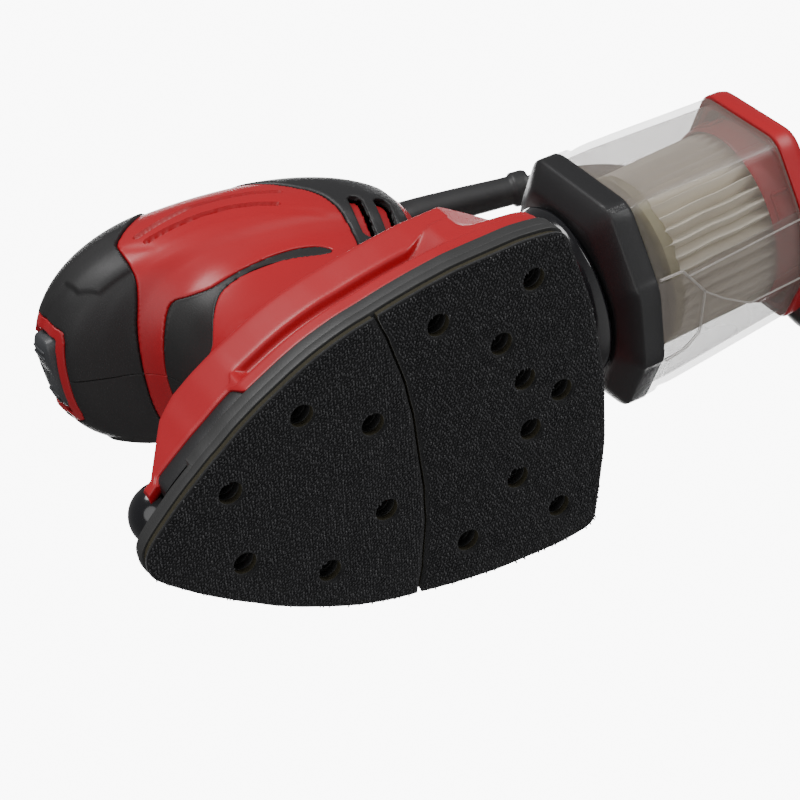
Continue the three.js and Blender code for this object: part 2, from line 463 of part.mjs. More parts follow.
const circ = (x, r, n = 20) => [...Array(n)].map((_, j) => [x, r * Math.cos((j * 2 * Math.PI) / n), canZ(x) + r * Math.sin((j * 2 * Math.PI) / n)]);
{
  let s = loft([hexAt(-149.3, -0.6), hexAt(-155.5, -0.6), hexAt(END_X, 1)]).subtract(loft([hexAt(-148, 3.2), hexAt(-154.4, 3.2)]));
  s = s.add(loft([circ(-136, 27.6), circ(-155, 27.6)]).subtract(loft([circ(-135, 26.7), circ(-154.4, 26.7)])));
  s = s.subtract(box(-160, -155.8, -18, -4, 20, 80)).subtract(box(-160, -155.8, 4, 18, 20, 80));
  add("end_cap", s, 0xb3242a, 0.3);
}
{
  const n = 30, ring = (x) => [...Array(2 * n)].map((_, j) => { const r = j % 2 ? 22.2 : 26.1; return [x, r * Math.cos((j * Math.PI) / n), canZ(x) + r * Math.sin((j * Math.PI) / n)]; });
  add("filter_media", loft([ring(-107.3), ring(-147)]).subtract(loft([circ(-106, 17, 20), circ(-149, 17, 20)])), 0xe9e2cf, 0.9);
  add("filter_front_plate", loft([circ(-104, 26.2), circ(-107, 26.2)]), 0xd8cfae, 0.7);
  add("filter_rear_frame", loft([circ(-147.3, 26.2), circ(-153.6, 26.2)]).subtract(loft([circ(-146, 17, 20), circ(-152, 17, 20)])), 0x2b2b2b, 0.6);
}

// ---------------------------------------------------------------- cord
{
  const c = (x, z, r, n = 12) => [...Array(n)].map((_, j) => [x, r * Math.cos((j * 2 * Math.PI) / n), z + r * Math.sin((j * 2 * Math.PI) / n)]);
  add("strain_relief", loft([c(-48, 109.3, 7.5), c(-50, 109.3, 7.5), c(-50.2, 109.3, 5.6), c(-68, 108.9, 5.6), c(-99, 102.2, 4.5), c(-101, 101.8, 5.4), c(-104, 101.1, 5.4), c(-105, 100.9, 4.6)]), 0x1b1b1b, 0.6);
  add("cord_clamp", box(-47.5, -40, -9, 9, 104.5, 108.5), 0x2f2f31, 0.6);
}
const ROUTE = [
  [-106, 0, 100.7], [-113, -0.2, 99.2], [-120, -0.8, 97.6], [-128, -2.3, 96], [-136, -5, 94.2], [-144, -9.2, 91.9], [-151.2, -14.8, 88.8],
  [-157.4, -21.6, 84], [-162, -28, 77.2], [-164.4, -33.2, 69], [-164.6, -36.8, 60], [-163.2, -38.3, 50], [-161.4, -38.6, 40], [-160.2, -37.9, 30],
  [-161, -35.2, 21], [-164.6, -31.2, 13], [-170.8, -27.4, 7.6], [-179, -24.7, 4.6], [-188.5, -23.2, 3.5], [-199.5, -22.8, 3.5],
];
{
  const curve = new THREE.CatmullRomCurve3(ROUTE.map((p) => new THREE.Vector3(...p)), false, "centripetal");
  const sect = new THREE.Shape([...Array(8)].map((_, j) => new THREE.Vector2(CORD_R * Math.cos((j * Math.PI) / 4), CORD_R * Math.sin((j * Math.PI) / 4))));
  add("power_cord", solid(new THREE.ExtrudeGeometry(sect, { steps: 24, bevelEnabled: false, extrudePath: curve })).subtract(tube("z", COIL.rout + 0.3, 1, -5, COIL.z + 0.3, COIL.x, COIL.y, 40)), 0x19191a, 0.6);
  const cr = [[COIL.rin, 0], [COIL.rout, 0], [COIL.rout, COIL.z], [COIL.rin, COIL.z]];
  const g = new THREE.LatheGeometry([...cr, cr[0]].map(([r, z]) => new THREE.Vector2(r, z)), 28);
  g.rotateX(Math.PI / 2).translate(COIL.x, COIL.y, 0);
  let s = solid(g);
  if (s.volume() < 0) {
    const g2 = new THREE.LatheGeometry([...cr, cr[0]].reverse().map(([r, z]) => new THREE.Vector2(r, z)), 28);
    g2.rotateX(Math.PI / 2).translate(COIL.x, COIL.y, 0);
    s = solid(g2);
  }
  add("cord_coil", s, 0x19191a, 0.6);
  const r0 = COIL.rin - 0.4, r1 = COIL.rout + 0.4;
  const loop = box(COIL.x - 3, COIL.x + 3, COIL.y - r1 - 0.9, COIL.y - r0 + 1.4, 0, COIL.z + 1.8).subtract(box(COIL.x - 4, COIL.x + 4, COIL.y - r1, COIL.y - r0 + 0.1, -1, COIL.z + 0.4));
  add("cord_tie", loop, 0x101012, 0.8);
}
{
  // the lead climbs out of the coil's top layer into the plug, which lies on the coil
  const c = ([y, w, z0, z1]) => [[PLUG_X - w, y, z0], [PLUG_X + w, y, z0], [PLUG_X + w, y, z1], [PLUG_X - w, y, z1]];
  const sections = [
    [-93.5, 11.5, 20.7, 39], [-87.5, 11.5, 20.7, 39], [-75.5, 9.5, 21.4, 37.6], [-71.5, 5.2, 24.6, 34.4], [-59.5, 4.2, 23.6, 31.6], [-56.5, 3.4, 22.8, 29.8],
  ];
  add("plug_body", loft(sections.map(c)), 0x161617, 0.5);
  for (const [i, s] of [[1, -1], [2, 1]]) add("plug_blade_" + i, box(PLUG_X + s * 6.35 - 0.8, PLUG_X + s * 6.35 + 0.8, -107, -93.8, 26.7, 33), 0xc8b26a, 0.25, 1);
}

export default root;
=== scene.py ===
import math

import bpy
import bmesh
import numpy as np
from mathutils import Matrix, Vector

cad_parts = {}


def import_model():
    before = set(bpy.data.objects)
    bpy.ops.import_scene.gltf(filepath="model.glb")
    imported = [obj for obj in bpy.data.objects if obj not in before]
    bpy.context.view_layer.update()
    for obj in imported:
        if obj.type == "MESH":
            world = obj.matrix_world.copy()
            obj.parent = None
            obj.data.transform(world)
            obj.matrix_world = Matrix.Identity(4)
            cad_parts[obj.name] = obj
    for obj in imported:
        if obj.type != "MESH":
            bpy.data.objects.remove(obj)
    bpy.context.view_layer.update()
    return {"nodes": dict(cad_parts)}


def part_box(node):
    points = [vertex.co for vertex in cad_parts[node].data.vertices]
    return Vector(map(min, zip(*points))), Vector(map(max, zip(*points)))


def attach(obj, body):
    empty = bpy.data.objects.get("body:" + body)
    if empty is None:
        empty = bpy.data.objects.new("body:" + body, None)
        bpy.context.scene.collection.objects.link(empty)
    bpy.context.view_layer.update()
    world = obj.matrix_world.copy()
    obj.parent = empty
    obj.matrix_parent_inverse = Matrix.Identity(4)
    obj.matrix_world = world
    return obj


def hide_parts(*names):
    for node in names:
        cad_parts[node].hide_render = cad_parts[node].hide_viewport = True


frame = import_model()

RNG = np.random.default_rng(7)
MM = 0.001

# ------------------------------------------------------------------ camera
cam_data = bpy.data.cameras.new("camera")
cam_data.lens = 108.8
cam_data.sensor_width = 36.0
cam_data.clip_start = 0.05
cam_data.clip_end = 30
cam = bpy.data.objects.new("camera", cam_data)
bpy.context.scene.collection.objects.link(cam)
right = Vector((-0.87079, -0.12406, -0.47575))
down = Vector((0.36564, -0.81031, -0.45794))
fwd = Vector((-0.32869, -0.57272, 0.75097))
m = Matrix((right, -down, -fwd)).transposed().to_4x4()
m.translation = Vector((200.93, 381.94, -475.83)) * MM
cam.matrix_world = m
bpy.context.scene.camera = cam


# ------------------------------------------------------------------ materials
def mat(name, color, rough=0.5, metal=0.0, var=0.15, var_scale=60.0, rough_var=0.1, bump=0.0, bump_scale=1200.0,
        bump_detail=2.0, spec=0.5, sheen=0.0, coat=0.0, stretch=(1, 1, 1), color2=None, painted_edge_highlight=0.0):
    m = bpy.data.materials.new(name)
    m.use_nodes = True
    nt = m.node_tree
    nt.nodes.clear()
    out = nt.nodes.new("ShaderNodeOutputMaterial")
    b = nt.nodes.new("ShaderNodeBsdfPrincipled")
    nt.links.new(b.outputs[0], out.inputs[0])
    tc = nt.nodes.new("ShaderNodeTexCoord")
    mp = nt.nodes.new("ShaderNodeMapping")
    mp.inputs["Scale"].default_value = stretch
    nt.links.new(tc.outputs["Object"], mp.inputs["Vector"])
    n1 = nt.nodes.new("ShaderNodeTexNoise")
    n1.inputs["Scale"].default_value = var_scale
    n1.inputs["Detail"].default_value = 5
    nt.links.new(mp.outputs[0], n1.inputs["Vector"])
    mix = nt.nodes.new("ShaderNodeMix")
    mix.data_type = "RGBA"
    c = np.array(color)
    c2 = np.array(color2) if color2 is not None else c * (1 + var)
    mix.inputs[6].default_value = (*np.clip(c * (1 - var * 0.5), 0, 1), 1)
    mix.inputs[7].default_value = (*np.clip(c2, 0, 1), 1)
    nt.links.new(n1.outputs["Fac"], mix.inputs[0])
    base = mix.outputs[2]
    # painted highlight: convex edges, found by pointiness, are mixed towards a lighter tone of the base colour
    if painted_edge_highlight > 0:
        geo = nt.nodes.new("ShaderNodeNewGeometry")
        ramp = nt.nodes.new("ShaderNodeMapRange")
        ramp.inputs["From Min"].default_value = 0.52
        ramp.inputs["From Max"].default_value = 0.6
        ramp.inputs["To Max"].default_value = painted_edge_highlight
        nt.links.new(geo.outputs["Pointiness"], ramp.inputs["Value"])
        mix2 = nt.nodes.new("ShaderNodeMix")
        mix2.data_type = "RGBA"
        mix2.inputs[7].default_value = (*np.clip(c * 1.5 + 0.03, 0, 1), 1)
        nt.links.new(base, mix2.inputs[6])
        nt.links.new(ramp.outputs[0], mix2.inputs[0])
        base = mix2.outputs[2]
    nt.links.new(base, b.inputs["Base Color"])
    b.inputs["Metallic"].default_value = metal
    b.inputs["Specular IOR Level"].default_value = spec
    if sheen:
        b.inputs["Sheen Weight"].default_value = sheen
    if coat:
        b.inputs["Coat Weight"].default_value = coat
        b.inputs["Coat Roughness"].default_value = 0.08
    n2 = nt.nodes.new("ShaderNodeTexNoise")
    n2.inputs["Scale"].default_value = var_scale * 3
    n2.inputs["Detail"].default_value = 3
    nt.links.new(mp.outputs[0], n2.inputs["Vector"])
    mr = nt.nodes.new("ShaderNodeMapRange")
    mr.inputs["To Min"].default_value = max(0.02, rough - rough_var)
    mr.inputs["To Max"].default_value = min(1, rough + rough_var)
    nt.links.new(n2.outputs["Fac"], mr.inputs["Value"])
    nt.links.new(mr.outputs[0], b.inputs["Roughness"])
    if bump:
        n3 = nt.nodes.new("ShaderNodeTexNoise")
        n3.inputs["Scale"].default_value = bump_scale
        n3.inputs["Detail"].default_value = bump_detail
        nt.links.new(mp.outputs[0], n3.inputs["Vector"])
        bp = nt.nodes.new("ShaderNodeBump")
        bp.inputs["Strength"].default_value = bump
        bp.inputs["Distance"].default_value = 0.0003
        nt.links.new(n3.outputs["Fac"], bp.inputs["Height"])
        nt.links.new(bp.outputs[0], b.inputs["Normal"])
    return m


M = {}
M["red"] = mat("red_plastic", (0.38, 0.007, 0.013), 0.40, var=0.10, var_scale=25, rough_var=0.05, bump=0.10, bump_scale=2600, spec=0.5)
# a slightly darker copy of the red plastic: painted shade for the recess behind the vent slots
M["red_deep"] = mat("red_plastic_painted_shade", (0.36, 0.007, 0.013), 0.5, var=0.10, var_scale=25, bump=0.10, bump_scale=2600)
M["nose"] = mat("grip_rubber", (0.013, 0.0125, 0.013), 0.52, var=0.2, var_scale=40, rough_var=0.06, bump=0.22, bump_scale=3000, spec=0.45)
M["band"] = mat("grip_rubber_band", (0.015, 0.015, 0.015), 0.5, var=0.2, var_scale=40, rough_var=0.06, bump=0.2, bump_scale=3000, spec=0.45)
M["vent"] = mat("black_plastic_cover", (0.015, 0.015, 0.016), 0.5, var=0.15, var_scale=40, rough_var=0.05, bump=0.2, bump_scale=3000)
M["black"] = mat("black_plastic", (0.012, 0.012, 0.013), 0.42, var=0.15, var_scale=40, rough_var=0.05, bump=0.15, bump_scale=3000)
# the pad plate's convex edges get a painted highlight, up to 0.35 towards the lighter tone
M["plate"] = mat("pad_plate_plastic", (0.024, 0.024, 0.024), 0.5, var=0.2, var_scale=50, rough_var=0.08, bump=0.2, bump_scale=2200, painted_edge_highlight=0.35)
M["gloss"] = mat("gloss_black_plastic", (0.008, 0.008, 0.010), 0.16, var=0.1, var_scale=30, rough_var=0.04, bump=0.02, bump_scale=800, coat=0.4)
M["grey"] = mat("grey_plastic", (0.042, 0.044, 0.048), 0.45, var=0.12, var_scale=40, bump=0.15, bump_scale=3000)
M["foam"] = mat("dense_foam", (0.030, 0.026, 0.015), 0.85, var=0.35, var_scale=300, bump=0.8, bump_scale=1800, spec=0.3)
M["hook_base"] = mat("hook_backing_fabric", (0.008, 0.008, 0.009), 0.9, var=0.4, var_scale=600, bump=0.8, bump_scale=1500, spec=0.2, sheen=0.2)
M["hook"] = mat("hook_nylon", (0.020, 0.020, 0.022), 0.5, var=0.5, var_scale=500, bump=0.1, bump_scale=3000, spec=0.45)
M["paper"] = mat("filter_paper", (0.82, 0.76, 0.63), 0.9, var=0.06, var_scale=200, bump=0.35, bump_scale=1500, spec=0.2, color2=(0.88, 0.83, 0.72))
# dark olive for the filter's front plate and adhesive ring: partly their own tone, partly painted shade
M["glue"] = mat("filter_adhesive_painted_shade", (0.24, 0.21, 0.10), 0.55, var=0.3, var_scale=180, bump=0.4, bump_scale=500, color2=(0.42, 0.38, 0.22))
M["steel"] = mat("machined_steel", (0.55, 0.55, 0.56), 0.3, 1.0, var=0.08, var_scale=80, bump=0.1, bump_scale=900, stretch=(1, 1, 12))
M["lam"] = mat("steel_laminations", (0.20, 0.20, 0.21), 0.45, 0.9, var=0.3, var_scale=300, bump=0.6, bump_scale=500, stretch=(0.2, 0.2, 6))
M["copper"] = mat("copper_winding", (0.62, 0.25, 0.10), 0.35, 0.9, var=0.25, var_scale=400, bump=0.8, bump_scale=900, stretch=(1, 1, 4))
M["brass"] = mat("stamped_brass", (0.72, 0.52, 0.22), 0.3, 1.0, var=0.1, var_scale=100, bump=0.08, bump_scale=900)
M["nickel"] = mat("nickel_plate", (0.72, 0.70, 0.66), 0.22, 1.0, var=0.06, var_scale=100, bump=0.05, bump_scale=900)
M["carbon"] = mat("pressed_carbon", (0.03, 0.03, 0.03), 0.7, var=0.4, var_scale=600, bump=0.4, bump_scale=1500)
M["cord"] = mat("cord_jacket", (0.020, 0.020, 0.021), 0.48, var=0.2, var_scale=60, rough_var=0.07, bump=0.12, bump_scale=1500)
M["rubber"] = mat("black_rubber", (0.018, 0.018, 0.018), 0.7, var=0.2, var_scale=60, bump=0.3, bump_scale=1500)


def speckle():
    m = mat("spark_eroded_plastic", (0.03, 0.03, 0.031), 0.5, var=0.2, bump=0.0)
    nt = m.node_tree
    b = next(n for n in nt.nodes if n.type == "BSDF_PRINCIPLED")
    tc = next(n for n in nt.nodes if n.type == "TEX_COORD")
    v = nt.nodes.new("ShaderNodeTexVoronoi")
    v.inputs["Scale"].default_value = 1500
    nt.links.new(tc.outputs["Object"], v.inputs["Vector"])
    bp = nt.nodes.new("ShaderNodeBump")
    bp.inputs["Strength"].default_value = 0.9
    bp.inputs["Distance"].default_value = 0.0005
    nt.links.new(v.outputs["Distance"], bp.inputs["Height"])
    nt.links.new(bp.outputs[0], b.inputs["Normal"])
    return m


M["speckle"] = speckle()


def clear(name, color, a0, a1, rough=0.08):
    m = bpy.data.materials.new(name)
    m.use_nodes = True
    nt = m.node_tree
    b = next(n for n in nt.nodes if n.type == "BSDF_PRINCIPLED")
    tc = nt.nodes.new("ShaderNodeTexCoord")
    n1 = nt.nodes.new("ShaderNodeTexNoise")
    n1.inputs["Scale"].default_value = 30
    nt.links.new(tc.outputs["Object"], n1.inputs["Vector"])
    mix = nt.nodes.new("ShaderNodeMix")
    mix.data_type = "RGBA"
    mix.inputs[6].default_value = (*[c * 0.9 for c in color], 1)
    mix.inputs[7].default_value = (*[min(1, c * 1.1) for c in color], 1)
    nt.links.new(n1.outputs["Fac"], mix.inputs[0])
    nt.links.new(mix.outputs[2], b.inputs["Base Color"])
    n2 = nt.nodes.new("ShaderNodeTexNoise")
    n2.inputs["Scale"].default_value = 90
    nt.links.new(tc.outputs["Object"], n2.inputs["Vector"])
    mr2 = nt.nodes.new("ShaderNodeMapRange")
    mr2.inputs["To Min"].default_value = rough * 0.6
    mr2.inputs["To Max"].default_value = rough * 1.5
    nt.links.new(n2.outputs["Fac"], mr2.inputs["Value"])
    nt.links.new(mr2.outputs[0], b.inputs["Roughness"])
    lw = nt.nodes.new("ShaderNodeLayerWeight")
    lw.inputs["Blend"].default_value = 0.35
    mr = nt.nodes.new("ShaderNodeMapRange")
    mr.inputs["To Min"].default_value = a0
    mr.inputs["To Max"].default_value = a1
    nt.links.new(lw.outputs["Fresnel"], mr.inputs["Value"])
    nt.links.new(mr.outputs[0], b.inputs["Alpha"])
    return m


M["clear"] = clear("smoke_clear_plastic", (0.30, 0.265, 0.24), 0.13, 0.6)
# a lighter, more opaque copy of the smoke plastic: painted highlight along the cup's ridges
M["clear_edge"] = clear("smoke_clear_ridge_painted_highlight", (0.62, 0.58, 0.54), 0.30, 0.95)

CAD_FINISH = {
    "steel": ["eccentric_bearing", "eccentric_hub", "counterweight", "armature_shaft", "lower_bearing", "upper_bearing"],
    "lam": ["armature_core", "field_core"],
    "copper": ["armature_winding_lower", "armature_winding_upper", "commutator", "field_coil_front", "field_coil_rear"],
    "brass": ["brush_holder_left", "brush_holder_right"],
    "carbon": ["carbon_brush_left", "carbon_brush_right"],
    "black": ["cooling_fan", "motor_bracket", "bearing_cap", "switch_body", "cord_clamp", "filter_rear_frame"],
    "rubber": ["rubber_post_1", "rubber_post_2", "rubber_post_3", "rubber_post_4", "cup_gasket"],
}
for key, names in CAD_FINISH.items():
    for n in names:
        o = frame["nodes"][n]
        o.data.materials.clear()
        o.data.materials.append(M[key])


# ------------------------------------------------------------------ mesh helpers
def obj(name, verts, faces, material, body, replaces=(), slot=None, smooth=True, angle=35):
    """verts in millimetres"""
    me = bpy.data.meshes.new(name)
    me.from_pydata([tuple(v) for v in (np.asarray(verts, float) * MM)], [], [tuple(int(i) for i in f) for f in faces])
    me.validate()
    me.update()
    o = bpy.data.objects.new(name, me)
    bpy.context.scene.collection.objects.link(o)
    mats = material if isinstance(material, list) else [material]
    for x in mats:
        me.materials.append(x)
    if smooth:
        me.polygons.foreach_set("use_smooth", [True] * len(me.polygons))
        if angle:
            me.set_sharp_from_angle(angle=math.radians(angle))
    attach(o, body)
    if replaces:
        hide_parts(*replaces)
    return o


def grid_faces(nr, nc, wrap=True, off=0):
    f = []
    for i in range(nr - 1):
        for j in range(nc if wrap else nc - 1):
            a, b = i * nc + j, i * nc + (j + 1) % nc
            f.append((a + off, b + off, b + nc + off, a + nc + off))
    return f


def loft(rings, cap0=True, cap1=True):
    """closed or open skin through rings of equal counts"""
    r = np.asarray(rings, float)
    nr, nc = r.shape[:2]
    verts = r.reshape(-1, 3)
    faces = grid_faces(nr, nc)
    v = [*verts]
    for end, do in ((0, cap0), (nr - 1, cap1)):
        if do:
            v.append(r[end].mean(0))
            ci = len(v) - 1
            for j in range(nc):
                a, b = end * nc + j, end * nc + (j + 1) % nc
                faces.append((ci, b, a) if end == 0 else (ci, a, b))
    v = np.array(v)
    vol = 0
    for f in faces:
        p = v[list(f)]
        for k in range(1, len(f) - 1):
            vol += np.dot(p[0], np.cross(p[k], p[k + 1]))
    if vol < 0:
        faces = [tuple(reversed(f)) for f in faces]
    return v, faces


def join(parts):
    v, f = [], []
    n = 0
    for pv, pf in parts:
        v.append(np.asarray(pv, float))
        f += [tuple(i + n for i in q) for q in pf]
        n += len(pv)
    return np.vstack(v), f


def bevel(o, width, segments=2, angle=40):
    md = o.modifiers.new("edge", "BEVEL")
    md.width = width * MM
    md.segments = segments
    md.limit_method = "ANGLE"
    md.angle_limit = math.radians(angle)
    md.harden_normals = False
    return o


def tube_along(path, radii, n=20):
    """path and radii in millimetres"""
    p = np.asarray(path, float)
    t = np.gradient(p, axis=0)
    t /= np.linalg.norm(t, axis=1)[:, None]
    up = np.array([0, 1.0, 0])
    rings = []
    for i in range(len(p)):
        a = np.cross(t[i], up)
        a /= np.linalg.norm(a)
        b = np.cross(t[i], a)
        th = np.linspace(0, 2 * np.pi, n, endpoint=False)
        rings.append(p[i] + radii[i] * (np.cos(th)[:, None] * a + np.sin(th)[:, None] * b))
    return rings


def smooth_path(pts, n):
    p = np.asarray(pts, float)
    d = np.r_[0, np.cumsum(np.linalg.norm(np.diff(p, axis=0), axis=1))]
    t = np.linspace(0, d[-1], n)
    m = np.gradient(p, d, axis=0)
    i = np.clip(np.searchsorted(d, t, side="right") - 1, 0, len(d) - 2)
    h = (d[i + 1] - d[i])[:, None]
    s = ((t - d[i]) / (d[i + 1] - d[i]))[:, None]
    return (2 * s**3 - 3 * s**2 + 1) * p[i] + (s**3 - 2 * s**2 + s) * h * m[i] + (-2 * s**3 + 3 * s**2) * p[i + 1] + (s**3 - s**2) * h * m[i + 1]


def sstep(a, b, x):
    t = np.clip((x - a) / (b - a), 0, 1)
    return t * t * (3 - 2 * t)


# ------------------------------------------------------------------ cord, coil, tie and plug
CORD_R = 3.3
CX, CY = -199.5, -63.0
ROUTE = [
    (-106, 0, 100.7), (-113, -0.2, 99.2), (-120, -0.8, 97.6), (-128, -2.3, 96), (-136, -5, 94.2), (-144, -9.2, 91.9), (-151.2, -14.8, 88.8),
    (-157.4, -21.6, 84), (-162, -28, 77.2), (-164.4, -33.2, 69), (-164.6, -36.8, 60), (-163.2, -38.3, 50), (-161.4, -38.6, 40), (-160.2, -37.9, 30),
    (-161, -35.2, 21), (-164.6, -31.2, 13), (-170.8, -27.4, 7.6), (-179, -24.7, 4.6), (-188.5, -23.2, 3.5), (-199.5, -22.8, 3.5),
]


def coil_point(t):
    a = math.pi / 2 + 2 * math.pi * t
    if t <= 2.5:
        r, z = 40.2 - 6.7 * t, 3.5
    elif t <= 3.0:
        s = (t - 2.5) / 0.5
        r, z = 23.45 - 0.9 * math.sin(math.pi * s), 3.5 + 6.7 * float(sstep(0, 1, s))
    elif t <= 5.5:
        r, z = 23.45 + 6.7 * (t - 3), 10.2
    elif t <= 6.0:
        s = (t - 5.5) / 0.5
        r, z = 40.2 + 0.8 * math.sin(math.pi * s), 10.2 + 6.7 * float(sstep(0, 1, s))
    else:
        r, z = 40.2 - 6.7 * (t - 6), 16.9
    return (CX + r * math.cos(a), CY + r * math.sin(a), z)


coil = [coil_point(t) for t in np.linspace(0, 7, 505)]
# out of the top layer, round and up into the plug that lies on the coil
RB = 26.3
YB = CY + 33.5 - RB
tail = []
for k, a in enumerate(np.linspace(0, math.pi / 2, 12)[1:]):
    f = (k + 1) / 11
    tail.append((CX - RB * math.sin(a), YB + RB * math.cos(a), 16.9 + 9.1 * float(sstep(0, 1, 0.1 + 0.9 * f)) - 0.25 * (1 - f)))
tail += [(CX - RB, YB - 2.5, 26.7), (CX - RB, YB - 6, 27.6)]
first = smooth_path(ROUTE, 60)
line = np.vstack([first[:-1], np.array(coil), np.array(tail)])
# even the joins out
for _ in range(4):
    line[1:-1] = 0.5 * line[1:-1] + 0.25 * (line[:-2] + line[2:])
cu = bpy.data.curves.new("power_lead", "CURVE")
cu.dimensions = "3D"
sp = cu.splines.new("POLY")
sp.points.add(len(line) - 1)
for i, p in enumerate(line):
    sp.points[i].co = (*(p * MM), 1)
cu.bevel_depth = CORD_R * MM
cu.bevel_resolution = 6
cu.use_fill_caps = True
lead = bpy.data.objects.new("power_lead", cu)
bpy.context.scene.collection.objects.link(lead)
cu.materials.append(M["cord"])
for s_ in cu.splines:
    s_.use_smooth = True
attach(lead, "housing")
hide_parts("power_cord", "cord_coil")

# tie: a strap round the coil's turns, with its buckle
ang = -math.pi / 2
sec = []
for k in range(40):
    a = 2 * math.pi * k / 40
    rr, zz = 31.6 + 13.4 * np.sign(math.cos(a)) * abs(math.cos(a)) ** 0.55, 10.4 + 10.2 * np.sign(math.sin(a)) * abs(math.sin(a)) ** 0.55
    sec.append((rr, zz))
sec = np.array(sec)
tin = sec
tout = np.array([(31.6 + (r - 31.6) * 1.05, 10.4 + (z - 10.4) * 1.07) for r, z in sec])
ys = []
rings = []
for w, ss in ((-3, tin), (-3, tout), (3, tout), (3, tin)):
    rings.append([(CX + w, CY - r, max(0.02, z)) for r, z in ss])
tv = np.array(rings).reshape(-1, 3)
tf = []
n = 40
for i in range(4):
    for j in range(n):
        a, b = i * n + j, i * n + (j + 1) % n
        c, d = ((i + 1) % 4) * n + (j + 1) % n, ((i + 1) % 4) * n + j
        tf.append((a, b, c, d))
buckle = loft([[(CX - 5, CY - 42 + y, 19.5 + z) for y, z in ((0, 0), (9, 0), (9, 3), (0, 3))], [(CX + 5, CY - 42 + y, 19.5 + z) for y, z in ((0, 0), (9, 0), (9, 3), (0, 3))]])
tie = obj("lead_tie", *join([(tv, tf), buckle]), M["rubber"], "housing", ["cord_tie"], "cord_rubber", angle=40)
bevel(tie, 0.3)

# plug
PXC = CX - RB


def plug_ring(y, w, z0, z1, p=3.2, n=36):
    zc, h = (z0 + z1) / 2, (z1 - z0) / 2
    out = []
    for k in range(n):
        a = 2 * math.pi * k / n
        c, s = math.cos(a), math.sin(a)
        out.append((PXC + w * np.sign(c) * abs(c) ** (2 / p), y, zc + h * np.sign(s) * abs(s) ** (2 / p)))
    return out


PS = [(-66, 3.4, 4.2, 11.0, 2), (-65.8, 4.4, 3.3, 11.9, 2), (-64, 4.6, 3.1, 12.1, 2)]
for k in range(5):
    y = -63.4 + k * 2.6
    PS += [(y, 4.5 + 0.1 * k, 3.1, 12.1, 2), (y + 1.7, 4.6 + 0.1 * k, 3.0, 12.2, 2), (y + 1.8, 3.9, 3.8, 11.4, 2), (y + 2.5, 3.9, 3.8, 11.4, 2)]
PS += [(-50, 5.2, 2.8, 12.4, 2), (-48.6, 7.2, 1.6, 14.6, 2.4), (-47, 9.2, 0.7, 16.8, 2.8), (-43, 10.2, 0.4, 17.6, 3), (-38, 9.4, 0.5, 17.2, 3), (-34, 10.6, 0.3, 18.2, 3.2),
       (-31, 11.3, 0.2, 18.4, 3.6), (-28.4, 11.3, 0.2, 18.4, 3.6), (-28, 10.9, 0.6, 18.0, 3.6)]
PS = [(-(y + 121.6), w, z0 + 20.4, z1 + 20.4, p_) for y, w, z0, z1, p_ in PS]
plug = obj("plug_moulding", *loft([plug_ring(*p) for p in PS]), M["black"], "housing", ["plug_body"], "black_plastic", angle=50)
for i, s in ((1, -1), (2, 1)):
    x = PXC + s * 6.35
    rr = []
    for y, k in ((-93.5, 1.0), (-104.8, 1.0), (-106.4, 0.86), (-106.9, 0.6)):
        hw, hh, zc_ = 0.75 * k, 3.1 * k, 29.85
        rr.append([(x - hw, y, zc_ - hh + 0.3), (x - hw + 0.3 * k, y, zc_ - hh), (x + hw - 0.3 * k, y, zc_ - hh), (x + hw, y, zc_ - hh + 0.3),
                   (x + hw, y, zc_ + hh - 0.3), (x + hw - 0.3 * k, y, zc_ + hh), (x - hw + 0.3 * k, y, zc_ + hh), (x - hw, y, zc_ + hh - 0.3)])
    obj(f"plug_contact_{i}", *loft(rr), M["nickel"], "housing", [f"plug_blade_{i}"], "brass", angle=30)

# strain relief: tapered sleeve with an end ring
GL = smooth_path([(-56, 0, 109.3), (-66, 0, 109.1), (-80, 0, 106.6), (-99, 0, 102.2), (-105.2, 0, 100.9)], 90)
dist = np.r_[0, np.cumsum(np.linalg.norm(np.diff(GL, axis=0), axis=1))]
rad = np.interp(dist, [0, 8, 12, 42, 44.5, 45.2, 49, 50.2, 60], [5.5, 5.5, 5.3, 4.6, 4.6, 5.5, 5.5, 5.0, 4.2])
rings = tube_along(GL, rad, 28)
# open end with the lead coming out of it
end_c, end_t = GL[-1], (GL[-1] - GL[-2]) / np.linalg.norm(GL[-1] - GL[-2])
inner_r = [np.array(rings[-1]), end_c + (np.array(rings[-1]) - end_c) * (3.5 / rad[-1]), end_c - end_t * 3 + (np.array(rings[-1]) - end_c) * (3.5 / rad[-1])]
sleeve = obj("strain_relief_sleeve", *loft([*rings, *inner_r[1:]]), M["cord"], "housing", ["strain_relief"], "cord_rubber", angle=50)

# ------------------------------------------------------------------ motor housing surface
ST = np.array([
    [34, 36, -54, 34, -8, 2.3, 2.6], [46, 31.5, -50, 29.5, -8, 2.3, 2.6], [58, 29, -49, 27, -6, 2.2, 2.5], [70, 28, -50, 26, -2, 2.2, 2.3],
    [78, 29.7, -53, 27, 2, 2.2, 2.2], [84, 35.5, -57, 29.5, 6, 2.2, 2.1], [88.5, 45, -60.5, 32, 9, 2.3, 2.05], [93, 53, -63, 33.5, 11, 2.35, 2.0],
    [99, 56.5, -65, 34, 12, 2.4, 2.0], [106, 57, -65.5, 33.5, 12, 2.35, 2.0], [113, 54, -63, 31.5, 12, 2.3, 2.0], [119, 47.5, -56, 28, 11, 2.2, 2.0],
    [124, 38.5, -46, 22.5, 8, 2.15, 2.0], [128, 27, -34, 16, 5, 2.05, 2.0], [130.3, 16, -22, 9.5, 0, 2, 2], [131.2, -2.9, -3.1, 0.1, -3, 2, 2]], float)


